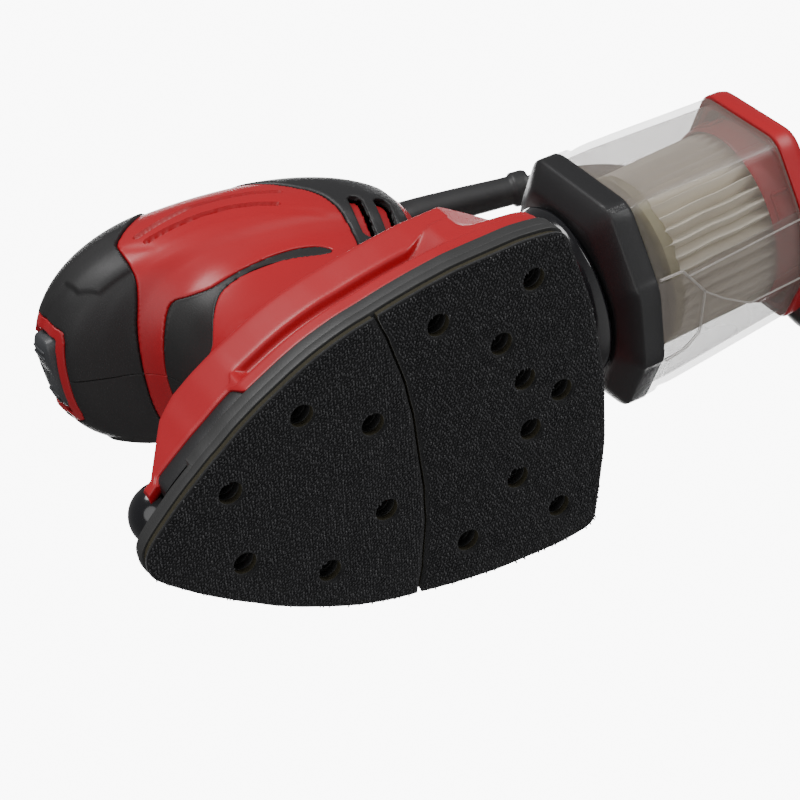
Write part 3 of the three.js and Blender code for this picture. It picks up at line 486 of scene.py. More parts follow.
def pchip(x, y, q):
    h = np.diff(x)
    d = np.diff(y) / h
    m = np.zeros(len(x))
    for i in range(1, len(x) - 1):
        if d[i - 1] * d[i] > 0:
            a, b = 2 * h[i] + h[i - 1], h[i] + 2 * h[i - 1]
            m[i] = (a + b) / (a / d[i - 1] + b / d[i])
    m[0], m[-1] = d[0], d[-1]
    i = np.clip(np.searchsorted(x, q, side="right") - 1, 0, len(x) - 2)
    t = (q - x[i]) / h[i]
    return (2 * t**3 - 3 * t**2 + 1) * y[i] + (t**3 - 2 * t**2 + t) * h[i] * m[i] + (-2 * t**3 + 3 * t**2) * y[i + 1] + (t**3 - t**2) * h[i] * m[i + 1]


DU = np.r_[0, np.cumsum(np.hypot(np.diff(ST[:, 0]), 0.5 * (np.abs(np.diff(ST[:, 1])) + np.abs(np.diff(ST[:, 2])))))]
DU /= DU[-1]


def surf(u, th):
    z, xf, xr, w, xw, ef, er = [pchip(DU, ST[:, k], u) for k in range(7)]
    c, s = np.cos(th), np.sin(th)
    e = np.where(c >= 0, ef, er)
    x = xw + np.where(c >= 0, xf - xw, xw - xr) * np.sign(c) * np.abs(c) ** (2 / e)
    y = w * np.sign(s) * np.abs(s) ** (2 / e)
    return np.stack([x, y, z], -1)


def normal(u, th, e=4e-4):
    a = surf(np.clip(u + e, 0, 1), th) - surf(np.clip(u - e, 0, 1), th)
    b = surf(u, th + 4e-3) - surf(u, th - 4e-3)
    n = np.cross(b, a)
    l = np.linalg.norm(n, axis=-1, keepdims=True)
    return n / np.maximum(l, 1e-12)


def chaikin(p, k=2, keep=()):
    p = [tuple(q) for q in p]
    for _ in range(k):
        out = []
        n = len(p)
        for i in range(n):
            a, b = np.array(p[i]), np.array(p[(i + 1) % n])
            out += [tuple(a * 0.75 + b * 0.25), tuple(a * 0.25 + b * 0.75)]
        p = out
    return np.array(p)


def seg_dist(q, a, b):
    ab = b - a
    t = np.clip(((q - a) @ ab) / max(ab @ ab, 1e-9), 0, 1)
    return np.linalg.norm(q - (a + t[:, None] * ab), axis=1)


def sd_poly(q, poly):
    d = np.full(len(q), 1e9)
    inside = np.zeros(len(q), bool)
    n = len(poly)
    for i in range(n):
        a, b = poly[i], poly[(i + 1) % n]
        d = np.minimum(d, seg_dist(q, a, b))
        cond = (a[1] > q[:, 1]) != (b[1] > q[:, 1])
        with np.errstate(divide="ignore", invalid="ignore"):
            xi = (b[0] - a[0]) * (q[:, 1] - a[1]) / (b[1] - a[1]) + a[0]
        inside ^= cond & (q[:, 0] < xi)
    return np.where(inside, -d, d)


def sd_line(q, pts):
    d = np.full(len(q), 1e9)
    for a, b in zip(pts[:-1], pts[1:]):
        d = np.minimum(d, seg_dist(q, np.array(a, float), np.array(b, float)))
    return d


NOSE = chaikin([(37, 60), (36.2, 81), (33.6, 84), (30.6, 85.6), (28.8, 88), (29, 92), (29, 98.4), (28.6, 101.2), (25.5, 104.8), (19, 111), (13, 118), (10, 124), (9, 145), (90, 145), (90, 60)], 2)
BAND = chaikin([(48, 77.3), (31, 77.5), (29.1, 77.9), (27, 78.9), (24.4, 80.2), (21.8, 80.2), (17.7, 77.4), (12.8, 74.9), (8.6, 74.4), (-2.4, 75.7), (-13.9, 76.5), (-22.5, 75.1), (-25.7, 71.5),
                (-21.9, 69.4), (-12.2, 72.7), (-1.3, 73.2), (6.8, 72.4), (11.5, 71.3), (15.4, 67.3), (19.6, 60.3), (21.4, 56.6), (24, 55.4), (48, 55)], 2)
VENT = chaikin([(-7, 145), (-8, 133), (-10, 125), (-15, 118), (-22, 110), (-28.2, 103.4), (-34.2, 97.3), (-36.3, 90.5), (-36.3, 83.9), (-35, 76.7), (-32, 68), (-29, 56), (-52.6, 56), (-54.5, 70), (-58, 84),
                (-59.8, 96), (-59.6, 104), (-57, 112), (-50, 121), (-40, 128), (-34, 145)], 2)


def slot_poly(x0, x1, zt, x2, x3, zb):
    return chaikin([(x0, zt), (x1, zt), (x1 * 0.67 + x3 * 0.33, zt * 0.67 + zb * 0.33), (x1 * 0.33 + x3 * 0.67, zt * 0.33 + zb * 0.67), (x3, zb), (x2, zb), (x0 * 0.33 + x2 * 0.67, zt * 0.33 + zb * 0.67),
                    (x0 * 0.67 + x2 * 0.33, zt * 0.67 + zb * 0.33)], 1)


SLOTS = [slot_poly(-46.2, -41.6, 95, -42.6, -38.4, 78), slot_poly(-55.4, -50.2, 96, -50.8, -46.4, 78)]
WINDOW = chaikin([(-15, 94), (-5, 93.6), (5, 93.6), (15, 94), (16.6, 97), (16.8, 105), (16, 110), (12, 112.4), (4, 113), (-4, 113), (-12, 112.4), (-16, 110), (-16.8, 105), (-16.6, 97)], 1)
WHOLE = chaikin([(-12.8, 96.4), (12.8, 96.4), (13.3, 98), (13.3, 108), (12.4, 109.6), (-12.4, 109.6), (-13.3, 108), (-13.3, 98)], 1)

NU, NV = ((310, 540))
u0 = float(np.interp(36.5, ST[:, 0], DU))
uu = u0 + (0.9995 - u0) * np.linspace(0, 1, NU)
tt = np.linspace(0, 2 * np.pi, NV, endpoint=False)
extra = []
for c in (0.0, np.pi):
    for e in (0.0025, 0.006, 0.010):
        extra += [c + e, c - e]
tt = np.unique(np.round(np.mod(np.r_[tt, extra], 2 * np.pi), 6))
NV = len(tt)
GU, GT = np.meshgrid(uu, tt, indexing="ij")


G1 = [(22.5, 99.8), (13.8, 102.5), (3.1, 105.2), (-6.4, 104.9), (-15.4, 103.6), (-23.4, 100.9)]
G2 = [(20.9, 95.8), (12.9, 97.3), (2.9, 98.4), (-6.4, 97.9), (-13.5, 96.3), (-19.4, 94.2)]


def field(P, name):
    if name == "groove":
        d = np.minimum(sd_line(P[:, [0, 2]], G1), sd_line(P[:, [0, 2]], G2)) - 1.2
        return np.where(np.abs(P[:, 1]) > 12, d, 50.0)
    q = P[:, [0, 2]]
    yz = P[:, [1, 2]]
    if name in ("nose", "band", "vent"):
        return sd_poly(q, {"nose": NOSE, "band": BAND, "vent": VENT}[name])
    if name.startswith("slot"):
        return np.maximum(sd_poly(q, SLOTS[int(name[4:])]), 7 - np.abs(P[:, 1]))
    return np.where(P[:, 0] > 30, sd_poly(yz, WINDOW if name == "window" else WHOLE), 50.0)


NAMES = ("groove", "nose", "band", "vent", "slot0", "slot1", "window", "hole")


ZERO = {}
for name in NAMES:
    P = surf(GU, GT)
    F = field(P.reshape(-1, 3), name).reshape(NU, NV)
    cost = np.full((NU, NV), 9.0)
    nu, nt = GU.copy(), GT.copy()
    for axis in (0, 1):
        if axis == 0:
            A, B = (slice(0, NU - 1), slice(None)), (slice(1, NU), slice(None))
            F0, F1, U0, U1, T0, T1 = F[:-1], F[1:], GU[:-1], GU[1:], GT[:-1], GT[1:]
        else:
            F0, F1, U0, U1, T0 = F, np.roll(F, -1, 1), GU, np.roll(GU, -1, 1), GT
            T1 = np.roll(GT, -1, 1).copy()
            T1[:, -1] += 2 * np.pi
        with np.errstate(divide="ignore", invalid="ignore"):
            t = F0 / (F0 - F1)
        cross = (F0 * F1 < 0)
        t = np.where(cross, t, 0.5)
        cu_, ct_ = U0 + t * (U1 - U0), T0 + t * (T1 - T0)
        ii, jj = np.nonzero(cross)
        for i, j in zip(ii, jj):
            tv_ = t[i, j]
            if tv_ < 0.5:
                a, b, c = i, j, tv_
                tadd = 0
            else:
                a, b, c = (i + 1, j, 1 - tv_) if axis == 0 else (i, (j + 1) % NV, 1 - tv_)
                tadd = -2 * np.pi if (axis == 1 and j == NV - 1) else 0
            if c < cost[a, b]:
                cost[a, b] = c
                nu[a, b] = cu_[i, j]
                nt[a, b] = ct_[i, j] + tadd
    GU, GT = nu, nt
    ZERO[name] = (cost < 5) | (F == 0)

P = surf(GU, GT).reshape(-1, 3)
N = normal(GU, GT).reshape(-1, 3)
F = {k: field(P, k) for k in NAMES}
for k, z in ZERO.items():
    F[k][z.reshape(-1)] = 0.0

idx = np.arange(NU * NV).reshape(NU, NV)
a, b = idx[:-1], np.roll(idx, -1, 1)[:-1]
d, c = idx[1:], np.roll(idx, -1, 1)[1:]
quads = np.stack([a, b, c, d], -1).reshape(-1, 4)
faces, tri_mask = [], np.zeros(len(quads), int)
for k in F:
    s = np.sign(F[k])[quads]
    tri_mask = np.where(s[:, 0] * s[:, 2] < 0, 1, tri_mask)
    tri_mask = np.where(s[:, 1] * s[:, 3] < 0, 2, tri_mask)
plain = quads[tri_mask == 0]
t1 = quads[tri_mask == 1]
t2 = quads[tri_mask == 2]
tris = np.vstack([t1[:, [0, 1, 3]], t1[:, [1, 2, 3]], t2[:, [0, 1, 2]], t2[:, [0, 2, 3]]]) if len(t1) + len(t2) else np.zeros((0, 3), int)


def label(fs):
    L = np.zeros(len(fs), int)  # 0 red
    for code, k in ((1, "nose"), (2, "band"), (3, "vent"), (4, "slot0"), (4, "slot1"), (5, "window"), (6, "hole")):
        L[F[k][fs].mean(1) < 0] = code
    return L


LQ, LT = label(plain), label(tris)

# relief
R0 = 0.5


def rounded(dist, r):
    k = np.clip(1 - np.abs(dist) / r, 0, 1)
    return -r * (1 - np.sqrt(np.maximum(0, 1 - k * k)))


disp = np.zeros(len(P))
for k in ("nose", "band", "vent", "window"):
    disp += rounded(F[k], R0) * 0.9
for k in ("slot0", "slot1", "hole"):
    disp += rounded(np.maximum(F[k], 0) + 1e-6, 0.5) * 0.9 * (F[k] > -0.01)
disp += 0.45 * sstep(0.1, 0.9, -F["vent"])
disp -= 0.30 * sstep(0.1, 0.7, -F["band"])
side = P[:, [0, 2]]
inred = (F["nose"] > 0.5) & (F["vent"] > 0.5)
disp -= 1.7 * sstep(0.05, 0.75, -F["groove"])
# shoulder above the lower groove falls away a little towards the grip
disp -= 0.35 * (1 - sstep(0.0, 2.4, sd_line(side, [(27, 97), (20, 92.3), (3, 94.6), (-14, 92.6), (-30, 88)]))) * inred * 0.4
# raised brow on the nose, its lower edge a shallow V
BROW = np.array([(64, 106), (52, 103.5), (45.3, 101.9), (44.2, 95.6), (39.4, 91.2), (34.9, 90.6), (29.4, 89.9), (20, 89), (0, 100), (0, 145), (64, 145)])
brow = sd_poly(side, BROW)
disp += 0.75 * (1 - sstep(-0.9, 0.35, brow)) * (F["nose"] < 0) * (np.abs(P[:, 1]) > 10)
# thumb scoops in the front of the grip band
disp -= 1.1 * np.exp(-(((P[:, 0] - 23.5) / 5) ** 2 + ((P[:, 2] - 67) / 8) ** 2)) * (F["band"] < 0)
# seam on the centre plane, where the two halves meet
seam = rounded(P[:, 1], 0.28) * 1.0
disp += np.where((F["vent"] > 0) & (F["window"] > 0), seam, 0)
disp -= 0.15 * sstep(0, 0.6, -F["window"])
PD = P + N * disp[:, None]


def patch(name, codes, material, replaces, slot, push=0.0, thick=1.7, ysign=0, body="housing"):
    sel_q = plain[np.isin(LQ, codes)]
    sel_t = tris[np.isin(LT, codes)]
    if ysign:
        sel_q = sel_q[(P[sel_q][:, :, 1].mean(1) * ysign) > 0]
        sel_t = sel_t[(P[sel_t][:, :, 1].mean(1) * ysign) > 0]
    used = np.unique(np.r_[sel_q.ravel(), sel_t.ravel()])
    remap = -np.ones(len(P), int)
    remap[used] = np.arange(len(used))
    V = PD[used] + N[used] * push
    fs = [tuple(f) for f in remap[sel_q]] + [tuple(f) for f in remap[sel_t]]
    # faces point outwards
    f0 = np.array(fs[0][:3])
    if np.dot(np.cross(V[f0[1]] - V[f0[0]], V[f0[2]] - V[f0[0]]), N[used][f0[0]]) < 0:
        fs = [tuple(reversed(f)) for f in fs]
    o = obj(name, V, fs, material, body, replaces, slot, angle=48)
    if thick:
        md = o.modifiers.new("wall", "SOLIDIFY")
        md.thickness = thick * MM
        md.offset = -1
        md.use_rim = True
    return o


# close the crown with a small cap ring handled by the last row sitting on the axis
patch("shell_left", [0], M["red"], ["housing_left"], "red_plastic", ysign=1)
patch("shell_right", [0], M["red"], ["housing_right"], "red_plastic", ysign=-1)
patch("nose_cap_left", [1], M["nose"], ["nose_grip_left"], "grip_rubber", ysign=1)
patch("nose_cap_right", [1], M["nose"], ["nose_grip_right"], "grip_rubber", ysign=-1)
patch("grip_ring_left", [2], M["band"], ["grip_band_left"], "grip_rubber", ysign=1)
patch("grip_ring_right", [2], M["band"], ["grip_band_right"], "grip_rubber", ysign=-1)
patch("vent_hood", [3], M["vent"], ["vent_cover"], "black_plastic", thick=2.2)
# the recessed patch behind the vent slots takes the darker red copy as painted shade
patch("shell_behind_vents", [4], M["red_deep"], [], "red_plastic", push=-2.4, thick=0.8)
patch("switch_bezel", [5], M["red"], [], "red_plastic", thick=3.0)

# ------------------------------------------------------------------ rocker
rk = []
RX = 50.0
NRK = 48


def rock_ring(scale, x):
    out = []
    for k in range(NRK):
        a = 2 * math.pi * k / NRK
        c, s = math.cos(a), math.sin(a)
        p = 5.0
        y = 12.2 * scale * np.sign(c) * abs(c) ** (2 / p)
        z = 103.0 + 5.6 * (1 - (1 - scale) * 2.0) * np.sign(s) * abs(s) ** (2 / p)
        out.append((x(y, z), y, z))
    return out


def front_x(y, z, inset=0.0):
    # outer surface of the nose at this height and width
    u = np.interp(z, ST[:, 0], DU)
    zz, xf, xr, w, xw, ef, er = [float(pchip(DU, ST[:, k], np.array([u]))[0]) for k in range(7)]
    return xw + (xf - xw) * max(0, 1 - (abs(y) / w) ** ef) ** (1 / ef) - inset


rings = [rock_ring(1.0, lambda y, z: 47.2), rock_ring(1.0, lambda y, z: front_x(y, z) - 0.4 - 0.0016 * y * y), rock_ring(0.975, lambda y, z: front_x(y, z) + 0.15 - 0.0016 * y * y)]
for s in (0.9, 0.8, 0.7, 0.6, 0.5, 0.4, 0.3, 0.2, 0.1):
    rings.append(rock_ring(s, lambda y, z: front_x(y, z) + 0.3 + 0.010 * y * y * 0 - 0.9 * math.exp(-(y / 3.5) ** 2)))
rv, rf = loft(rings)
rot = Matrix.Rotation(math.radians(-6), 3, "Z")
rv = np.array([(np.array(rot @ Vector((p[0] - RX, p[1], 0))) + np.array([RX, 0, p[2]])) for p in rv])
obj("rocker_key", rv, rf, M["grey"], "switch", ["switch_rocker"], "grey_plastic", angle=45)
# raised ridges on the key
ridges = []
for y in (-9, -7, 7, 9):
    path = [(front_x(y, z) + 0.42, y, z) for z in np.linspace(99.3, 106.7, 12)]
    path = [tuple(np.array(rot @ Vector((p[0] - RX, p[1], 0))) + np.array([RX, 0, p[2]])) for p in path]
    ridges.append(loft(tube_along(path, np.interp(np.linspace(0, 1, 12), [0, 0.1, 0.9, 1], [0.15, 0.42, 0.42, 0.15]), 10)))
obj("rocker_ridges", *join(ridges), M["grey"], "switch", slot="grey_plastic", angle=60)

# ------------------------------------------------------------------ housing screws, in their recesses on the right side
for i, (sx, sz) in enumerate([(20.5, 50), (-38.5, 66), (20, 89.5), (-5, 119)]):
    lo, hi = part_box(f"housing_screw_{i + 1}")
    y0 = lo.y * 1000
    # find the shell surface here
    near = np.argmin(np.hypot(P[:, 0] - sx, P[:, 2] - sz) + (P[:, 1] > 0) * 100)
    ysurf = P[near, 1]
    cup_ring = []
    for r_, yy in ((3.6, ysurf - 0.28), (3.3, ysurf - 0.32), (2.9, ysurf + 0.15), (2.8, ysurf + 1.0), (0.01, ysurf + 1.0)):
        cup_ring.append([(sx + r_ * math.cos(t), yy, sz + r_ * math.sin(t)) for t in np.linspace(0, 2 * math.pi, 28, endpoint=False)])
    head = []
    for r_, yy in ((2.5, ysurf + 0.9), (2.5, ysurf + 0.35), (2.2, ysurf + 0.12), (0.9, ysurf + 0.08), (0.8, ysurf + 0.7), (0.01, ysurf + 0.7)):
        lob = 6
        head.append([(sx + (r_ * (1 + (0.18 * math.cos(lob * t) if r_ < 1 and r_ > 0.1 else 0))) * math.cos(t), yy, sz + (r_ * (1 + (0.18 * math.cos(lob * t) if r_ < 1 and r_ > 0.1 else 0))) * math.sin(t)) for t in np.linspace(0, 2 * math.pi, 36, endpoint=False)])
    shank = [[(sx + 1.3 * math.cos(t), yy, sz + 1.3 * math.sin(t)) for t in np.linspace(0, 2 * math.pi, 16, endpoint=False)] for yy in (ysurf + 0.7, 7.0)]
    obj(f"screw_recess_{i + 1}", *loft(cup_ring, False, False), M["red"], "housing", slot="red_plastic", angle=40)
    obj(f"shell_screw_{i + 1}", *join([loft(head), loft(shank)]), M["steel"], "housing", [f"housing_screw_{i + 1}"], "steel", angle=35)

# ------------------------------------------------------------------ pad outline
TAB = [(99.7, 0), (99.4, 3.2), (97.5, 6.2), (94.5, 9.4), (91.1, 12.5), (85, 17.9), (80.3, 21.6), (75.9, 24.8), (72.7, 27.3), (68.5, 30), (61.5, 35), (53.3, 39.8), (46.5, 43.2), (39.6, 46.6), (32.6, 49.6),
       (25.4, 52), (18.1, 54), (10.7, 55.4), (3.3, 57), (-0.5, 57.7), (-8.1, 59), (-19.7, 60.5), (-27.6, 60.8), (-43.6, 61.3), (-51.7, 60.5), (-55.8, 59.8), (-58.4, 58.3), (-59.3, 57), (-60.8, 50), (-62.6, 42.5),
       (-65, 31.7), (-66, 26), (-67, 14), (-68, 0)]
half = np.array([((a_ - 16) * 0.8333, b_ * 0.8333) for a_, b_ in TAB])
half[:, 0] += 0.1
loop = np.vstack([half, half[1:-1][::-1] * [1, -1]])


def resample(loop, n, smooth=2):
    p = np.asarray(loop, float)
    q = np.vstack([p, p[:1]])
    d = np.r_[0, np.cumsum(np.linalg.norm(np.diff(q, axis=0), axis=1))]
    t = np.linspace(0, d[-1], n, endpoint=False)
    r = np.stack([np.interp(t, d, q[:, 0]), np.interp(t, d, q[:, 1])], -1)
    for _ in range(smooth):
        r = 0.5 * r + 0.25 * (np.roll(r, 1, 0) + np.roll(r, -1, 0))
    return r


OUT = resample(loop, 560, 6)
OUT[:, 0] = np.clip(OUT[:, 0], -70, 70)


def inset(p, d):
    return p * np.array([1 - d / 70, 1 - d / 51])


HT = [(43.2, 11.7), (20.1, 25.8), (0.9, 14.25)]
HR = [(-21.8, 36.0), (-39.4, 22.4), (-45.1, 8.4), (-51.2, 38.0)]
holes_tip = [(x, s * y) for x, y in HT for s in (1, -1)]
holes_rear = [(x, s * y) for x, y in HR for s in (1, -1)] + [(-55.9, 0)]
SPL = [(3, 0), (2.9, 15), (3.5, 20), (4, 27.3), (5.3, 33.6), (6.6, 39.8), (7.8, 46), (9.3, 50.4), (10.3, 54), (12.5, 62)]
spl = np.array([((a_ - 16) * 0.8333, b_ * 0.8333) for a_, b_ in SPL])
spl_t = np.interp(np.linspace(-52, 52, 90), np.r_[-spl[::-1, 1], spl[1:, 1]], np.r_[spl[::-1, 0], spl[1:, 0]])
spl_y = np.linspace(-52, 52, 90)


def split_x(y):
    return np.interp(np.abs(y), spl[:, 1], spl[:, 0])


def region_outline(side, d=0.0, gap=0.5):
    """outline of the tip (+1) or rear (-1) sheet"""
    o = inset(OUT, d)
    lim = split_x(o[:, 1]) + side * gap
    keep = (o[:, 0] - lim) * side > 0
    k = np.nonzero(keep)[0]
    # rotate so that the kept run is one piece
    br = np.nonzero(np.diff(k) > 1)[0]
    run = np.r_[k[br[0] + 1:], k[: br[0] + 1]] if len(br) else k
    pts = o[run]
    y0, y1 = pts[-1, 1], pts[0, 1]
    ys_ = np.linspace(y0, y1, 80)[1:-1]
    return np.vstack([pts, np.stack([split_x(ys_) + side * gap, ys_], -1)])


def circle(x, y, r, n=28):
    t = np.linspace(0, 2 * math.pi, n, endpoint=False)
    return np.stack([x + r * np.cos(t), y + r * np.sin(t)], -1)


def plate_mesh(outline, holes, z0, z1, bev):
    """a flat plate with holes and rounded rims, as vertices in millimetres and faces"""
    c_ = bpy.data.curves.new("tmp", "CURVE")
    c_.dimensions = "2D"
    c_.fill_mode = "BOTH"
    for pts in [outline, *holes]:
        s_ = c_.splines.new("POLY")
        s_.points.add(len(pts) - 1)
        for i, p in enumerate(pts):
            s_.points[i].co = (p[0], p[1], 0, 1)
        s_.use_cyclic_u = True
    c_.extrude = (z1 - z0) / 2 - bev
    c_.bevel_depth = bev
    c_.offset = -bev
    c_.bevel_resolution = 2
    o_ = bpy.data.objects.new("tmp", c_)
    bpy.context.scene.collection.objects.link(o_)
    dg = bpy.context.evaluated_depsgraph_get()
    me = bpy.data.meshes.new_from_object(o_.evaluated_get(dg))
    bm = bmesh.new()
    bm.from_mesh(me)
    bmesh.ops.remove_doubles(bm, verts=bm.verts, dist=1e-3)
    bmesh.ops.dissolve_degenerate(bm, dist=1e-4, edges=bm.edges)
    bmesh.ops.recalc_face_normals(bm, faces=bm.faces)
    bm.verts.ensure_lookup_table()
    v = np.array([x.co[:] for x in bm.verts])
    v[:, 2] += (z0 + z1) / 2
    f = [tuple(x.index for x in q.verts) for q in bm.faces]
    bm.free()
    bpy.data.objects.remove(o_)
    bpy.data.curves.remove(c_)
    bpy.data.meshes.remove(me)
    return v, f


# hook sheets: woven backing plus its hooks
def hooks(outline, holes, angle, seed):
    rng = np.random.default_rng(seed)
    ca, sa = math.cos(angle), math.sin(angle)
    px, py = ((0.92, 0.88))
    g = np.array([(i * px + (0.5 * px if j % 2 else 0), j * py) for i in range(-110, 110) for j in range(-110, 110)])
    g = g + rng.uniform(-0.14, 0.14, g.shape)
    g = g @ np.array([[ca, sa], [-sa, ca]])
    g = g[(np.abs(g[:, 0]) < 72) & (np.abs(g[:, 1]) < 52)]
    keep = sd_poly(g, outline) < -0.55
    for h in holes:
        keep &= np.hypot(g[:, 0] - h[0], g[:, 1] - h[1]) > 3.75
    g = g[keep]
    # one loop-backed hook: a stubby bent stem
    prof = np.array([(0.00, 1.0), (0.05, 0.62), (0.20, 0.34), (0.42, 0.26)])  # sideways, height left
    wid = np.array([0.26, 0.23, 0.20, 0.10])
    V, Fc = [], []
    base_v = []
    for (o_, h), w in zip(prof, wid):
        base_v += [(-w, o_ - 0.16), (w, o_ - 0.16), (w, o_ + 0.16), (-w, o_ + 0.16)]
    zz = np.repeat(prof[:, 1], 4)
    bv = np.array(base_v)
    bf = []
    for k in range(3):
        for j in range(4):
            bf.append((k * 4 + j, k * 4 + (j + 1) % 4, (k + 1) * 4 + (j + 1) % 4, (k + 1) * 4 + j))
    bf.append((12, 13, 14, 15))
    bf.append((3, 2, 1, 0))
    n_ = len(g)
    rot_ = rng.normal(0, 0.35, n_) + angle + np.where(rng.random(n_) < 0.5, 0, math.pi)
    sc = rng.uniform(0.85, 1.12, n_)
    zsc = rng.uniform(0.0, 0.22, n_)
    c_, s_ = np.cos(rot_), np.sin(rot_)
    X = (bv[None, :, 0] * c_[:, None] - bv[None, :, 1] * s_[:, None]) * sc[:, None] + g[:, 0:1]
    Y = (bv[None, :, 0] * s_[:, None] + bv[None, :, 1] * c_[:, None]) * sc[:, None] + g[:, 1:2]
    Z = np.broadcast_to(zz[None, :], X.shape) + zsc[:, None] * (1 - zz[None, :])
    Z = np.clip(Z - 0.16, 0.02, 1.0)
    V = np.stack([X, Y, Z], -1).reshape(-1, 3)
    f = np.array(bf)
    Fc = (f[None] + (np.arange(n_) * 16)[:, None, None]).reshape(-1, 4)
    return V, Fc


for nm, sgn, hl, ang_, seed in (("tip", 1, holes_tip, math.radians(33), 3), ("rear", -1, holes_rear, 0.0, 5)):
    o1 = region_outline(sgn, 0.35)
    rim = o1
    sheet_ = plate_mesh(rim, [circle(x, y, 3.5) for x, y in hl], 0.68, 1.6, 0.12)
    o_ = obj(f"hook_backing_{nm}", *sheet_, M["hook_base"], "platen", [f"hook_sheet_{nm}"], "hook_fabric", angle=40)
    hv, hf = hooks(region_outline(sgn, 0.0), hl, ang_, seed)
    obj(f"hooks_{nm}", hv, hf, M["hook"], "platen", slot="hook_fabric", smooth=False)
    f_ = plate_mesh(region_outline(sgn, 0.9), [circle(x, y, 3.45) for x, y in hl], 1.6, 3.6, 0.2)
    obj(f"foam_layer_{nm}", *f_, M["foam"], "platen", [f"foam_{nm}"], "foam", angle=40)

# platen: lower web, wall and bearing boss
PXE = -7.1
allh = [circle(x, y, 3.45) for x, y in holes_tip + holes_rear]
low = plate_mesh(OUT * 0.9985, allh, 3.6, 6.4, 0.25)
lip_out = OUT * 0.9965
front = lip_out.copy()
upper = plate_mesh(np.array([p for p in lip_out if p[0] < 50.5]), [*[circle(x, y, 3.45) for x, y in holes_tip + holes_rear], circle(PXE, 0, 11.2, 48)], 6.4, 10.45, 0.35)
tipp = plate_mesh(np.array([p for p in inset(OUT, 0.5) if p[0] > 49.8]), [], 6.4, 8.3, 0.3)
boss = loft([[(PXE + r_ * math.cos(t), r_ * math.sin(t), z_) for t in np.linspace(0, 2 * math.pi, 48, endpoint=False)] for r_, z_ in ((15, 9.5), (15, 15.6), (14.6, 16), (11.6, 16), (11.2, 15.6), (11.2, 9.5))], False, False)
o_ = obj("pad_plate", *join([low, upper, tipp, boss]), M["plate"], "platen", ["platen"], "black_plastic", angle=35)

# ------------------------------------------------------------------ base shroud
NS = 700
SK = resample(loop, NS, 8)


def prof_at(x):
    """profile [inset, height] from the inner bottom edge to the top centre"""
    rec = float(sstep(31.0, 27.5, x) * sstep(-36, -27, x))
    rear = float(sstep(-26, -38, x))
    frt = float(sstep(30.5, 34.0, x))
    cr = 35.0
    if x > 44:
        cr = 35 - (x - 44) / 6 * 2.6 if x < 50 else max(19.5, 32.4 - (x - 50) * 1.28)
    lipz = min(22.2 + 5.5 * rear, cr - 3)
    deep = 1.5 + 4.4 * rec
    zb = 11.3 + (min(17.2, cr - 4.2) - 11.3) * frt
    lip_in = 2.0 + 0.5 * rec
    k = 1 - frt
    pts = [
        (6.0, zb), (1.55 + 1.0 * frt, zb), (1.25 + 1.0 * frt, zb + 0.4), (1.25 + 0.9 * frt, zb + 0.8 + 3.4 * k), (1.5 + 0.5 * frt, zb + 1.0 + 3.45 * k), (1.6 + 0.4 * frt, zb + 1.2 + 3.8 * k),
        (deep + 0.5 * frt, zb + 1.4 + 4.0 * k), (deep + 0.5 * frt, max(zb + 1.6 + 4.1 * k, (lipz - 0.9) * k + (zb + 1.8) * frt)), (lip_in, lipz * k + (zb + 2.2) * frt),
        (2.0, max(lipz * k + (zb + 2.2) * frt + 0.4, cr - 2.0)), (2.3, cr - 0.8), (3.3, cr), (5.0, cr + 0.5), (12, min(37.6, cr + 1.4)), (24, min(38.0, cr + 2.4)), (38, 38.1),
    ]
    return np.array(pts)


def dense_profile(x, n=84):
    p = prof_at(x)
    d = np.r_[0, np.cumsum(np.maximum(np.linalg.norm(np.diff(p, axis=0), axis=1), 0.05))]
    # fixed share of samples to each stretch, so that rings line up
    cnt = [2, 3, 10, 3, 3, 6, 8, 7, 12, 6, 5, 5, 5, 5, 4]
    out = []
    for (a_, b_), k in zip(zip(p[:-1], p[1:]), cnt):
        for t in np.linspace(0, 1, k, endpoint=False):
            out.append(a_ * (1 - t) + b_ * t)
    out.append(p[-1])
    q = np.array(out)
    for _ in range(2):
        q[1:-1] = 0.5 * q[1:-1] + 0.25 * (q[:-2] + q[2:])
    return q


# facets on the front legs: flats cut across the outline
nrm = np.array([-0.57, 0.82])
lim = 63.6
cols = []
for p in SK:
    pr = dense_profile(p[0])
    xy = np.stack([p[0] * (1 - pr[:, 0] / 70), p[1] * (1 - pr[:, 0] / 51)], -1)
    w = sstep(17.5, 24, pr[:, 1])
    for sgn in (1, -1):
        n_ = nrm * [1, sgn]
        over = xy @ n_ - (lim - 0.25 * pr[:, 0] * 0)
        xy = xy - np.outer(np.maximum(over, 0) * w, n_)
    # nose of the shroud: cut square in front, where the bumper sits
    xy[:, 0] = np.minimum(xy[:, 0], 60.4)
    cols.append(np.column_stack([xy, pr[:, 1]]))
SKR = np.array(cols)  # NS x K x 3
K = SKR.shape[1]
rings = SKR.transpose(1, 0, 2)
sv = rings.reshape(-1, 3)
sf = grid_faces(K, NS)
vol = 0
tri = np.array([(f[0], f[1], f[2]) for f in sf] + [(f[0], f[2], f[3]) for f in sf])
A_, B_, C_ = sv[tri[:, 0]], sv[tri[:, 1]], sv[tri[:, 2]]
if np.einsum("ij,ij->i", A_, np.cross(B_, C_)).sum() < 0:
    sf = [tuple(reversed(f)) for f in sf]
o_ = obj("base_skirt", sv, sf, M["red"], "housing", ["base_shroud"], "red_plastic", angle=32)
md = o_.modifiers.new("wall", "SOLIDIFY")
md.thickness = 1.2 * MM
md.offset = -1

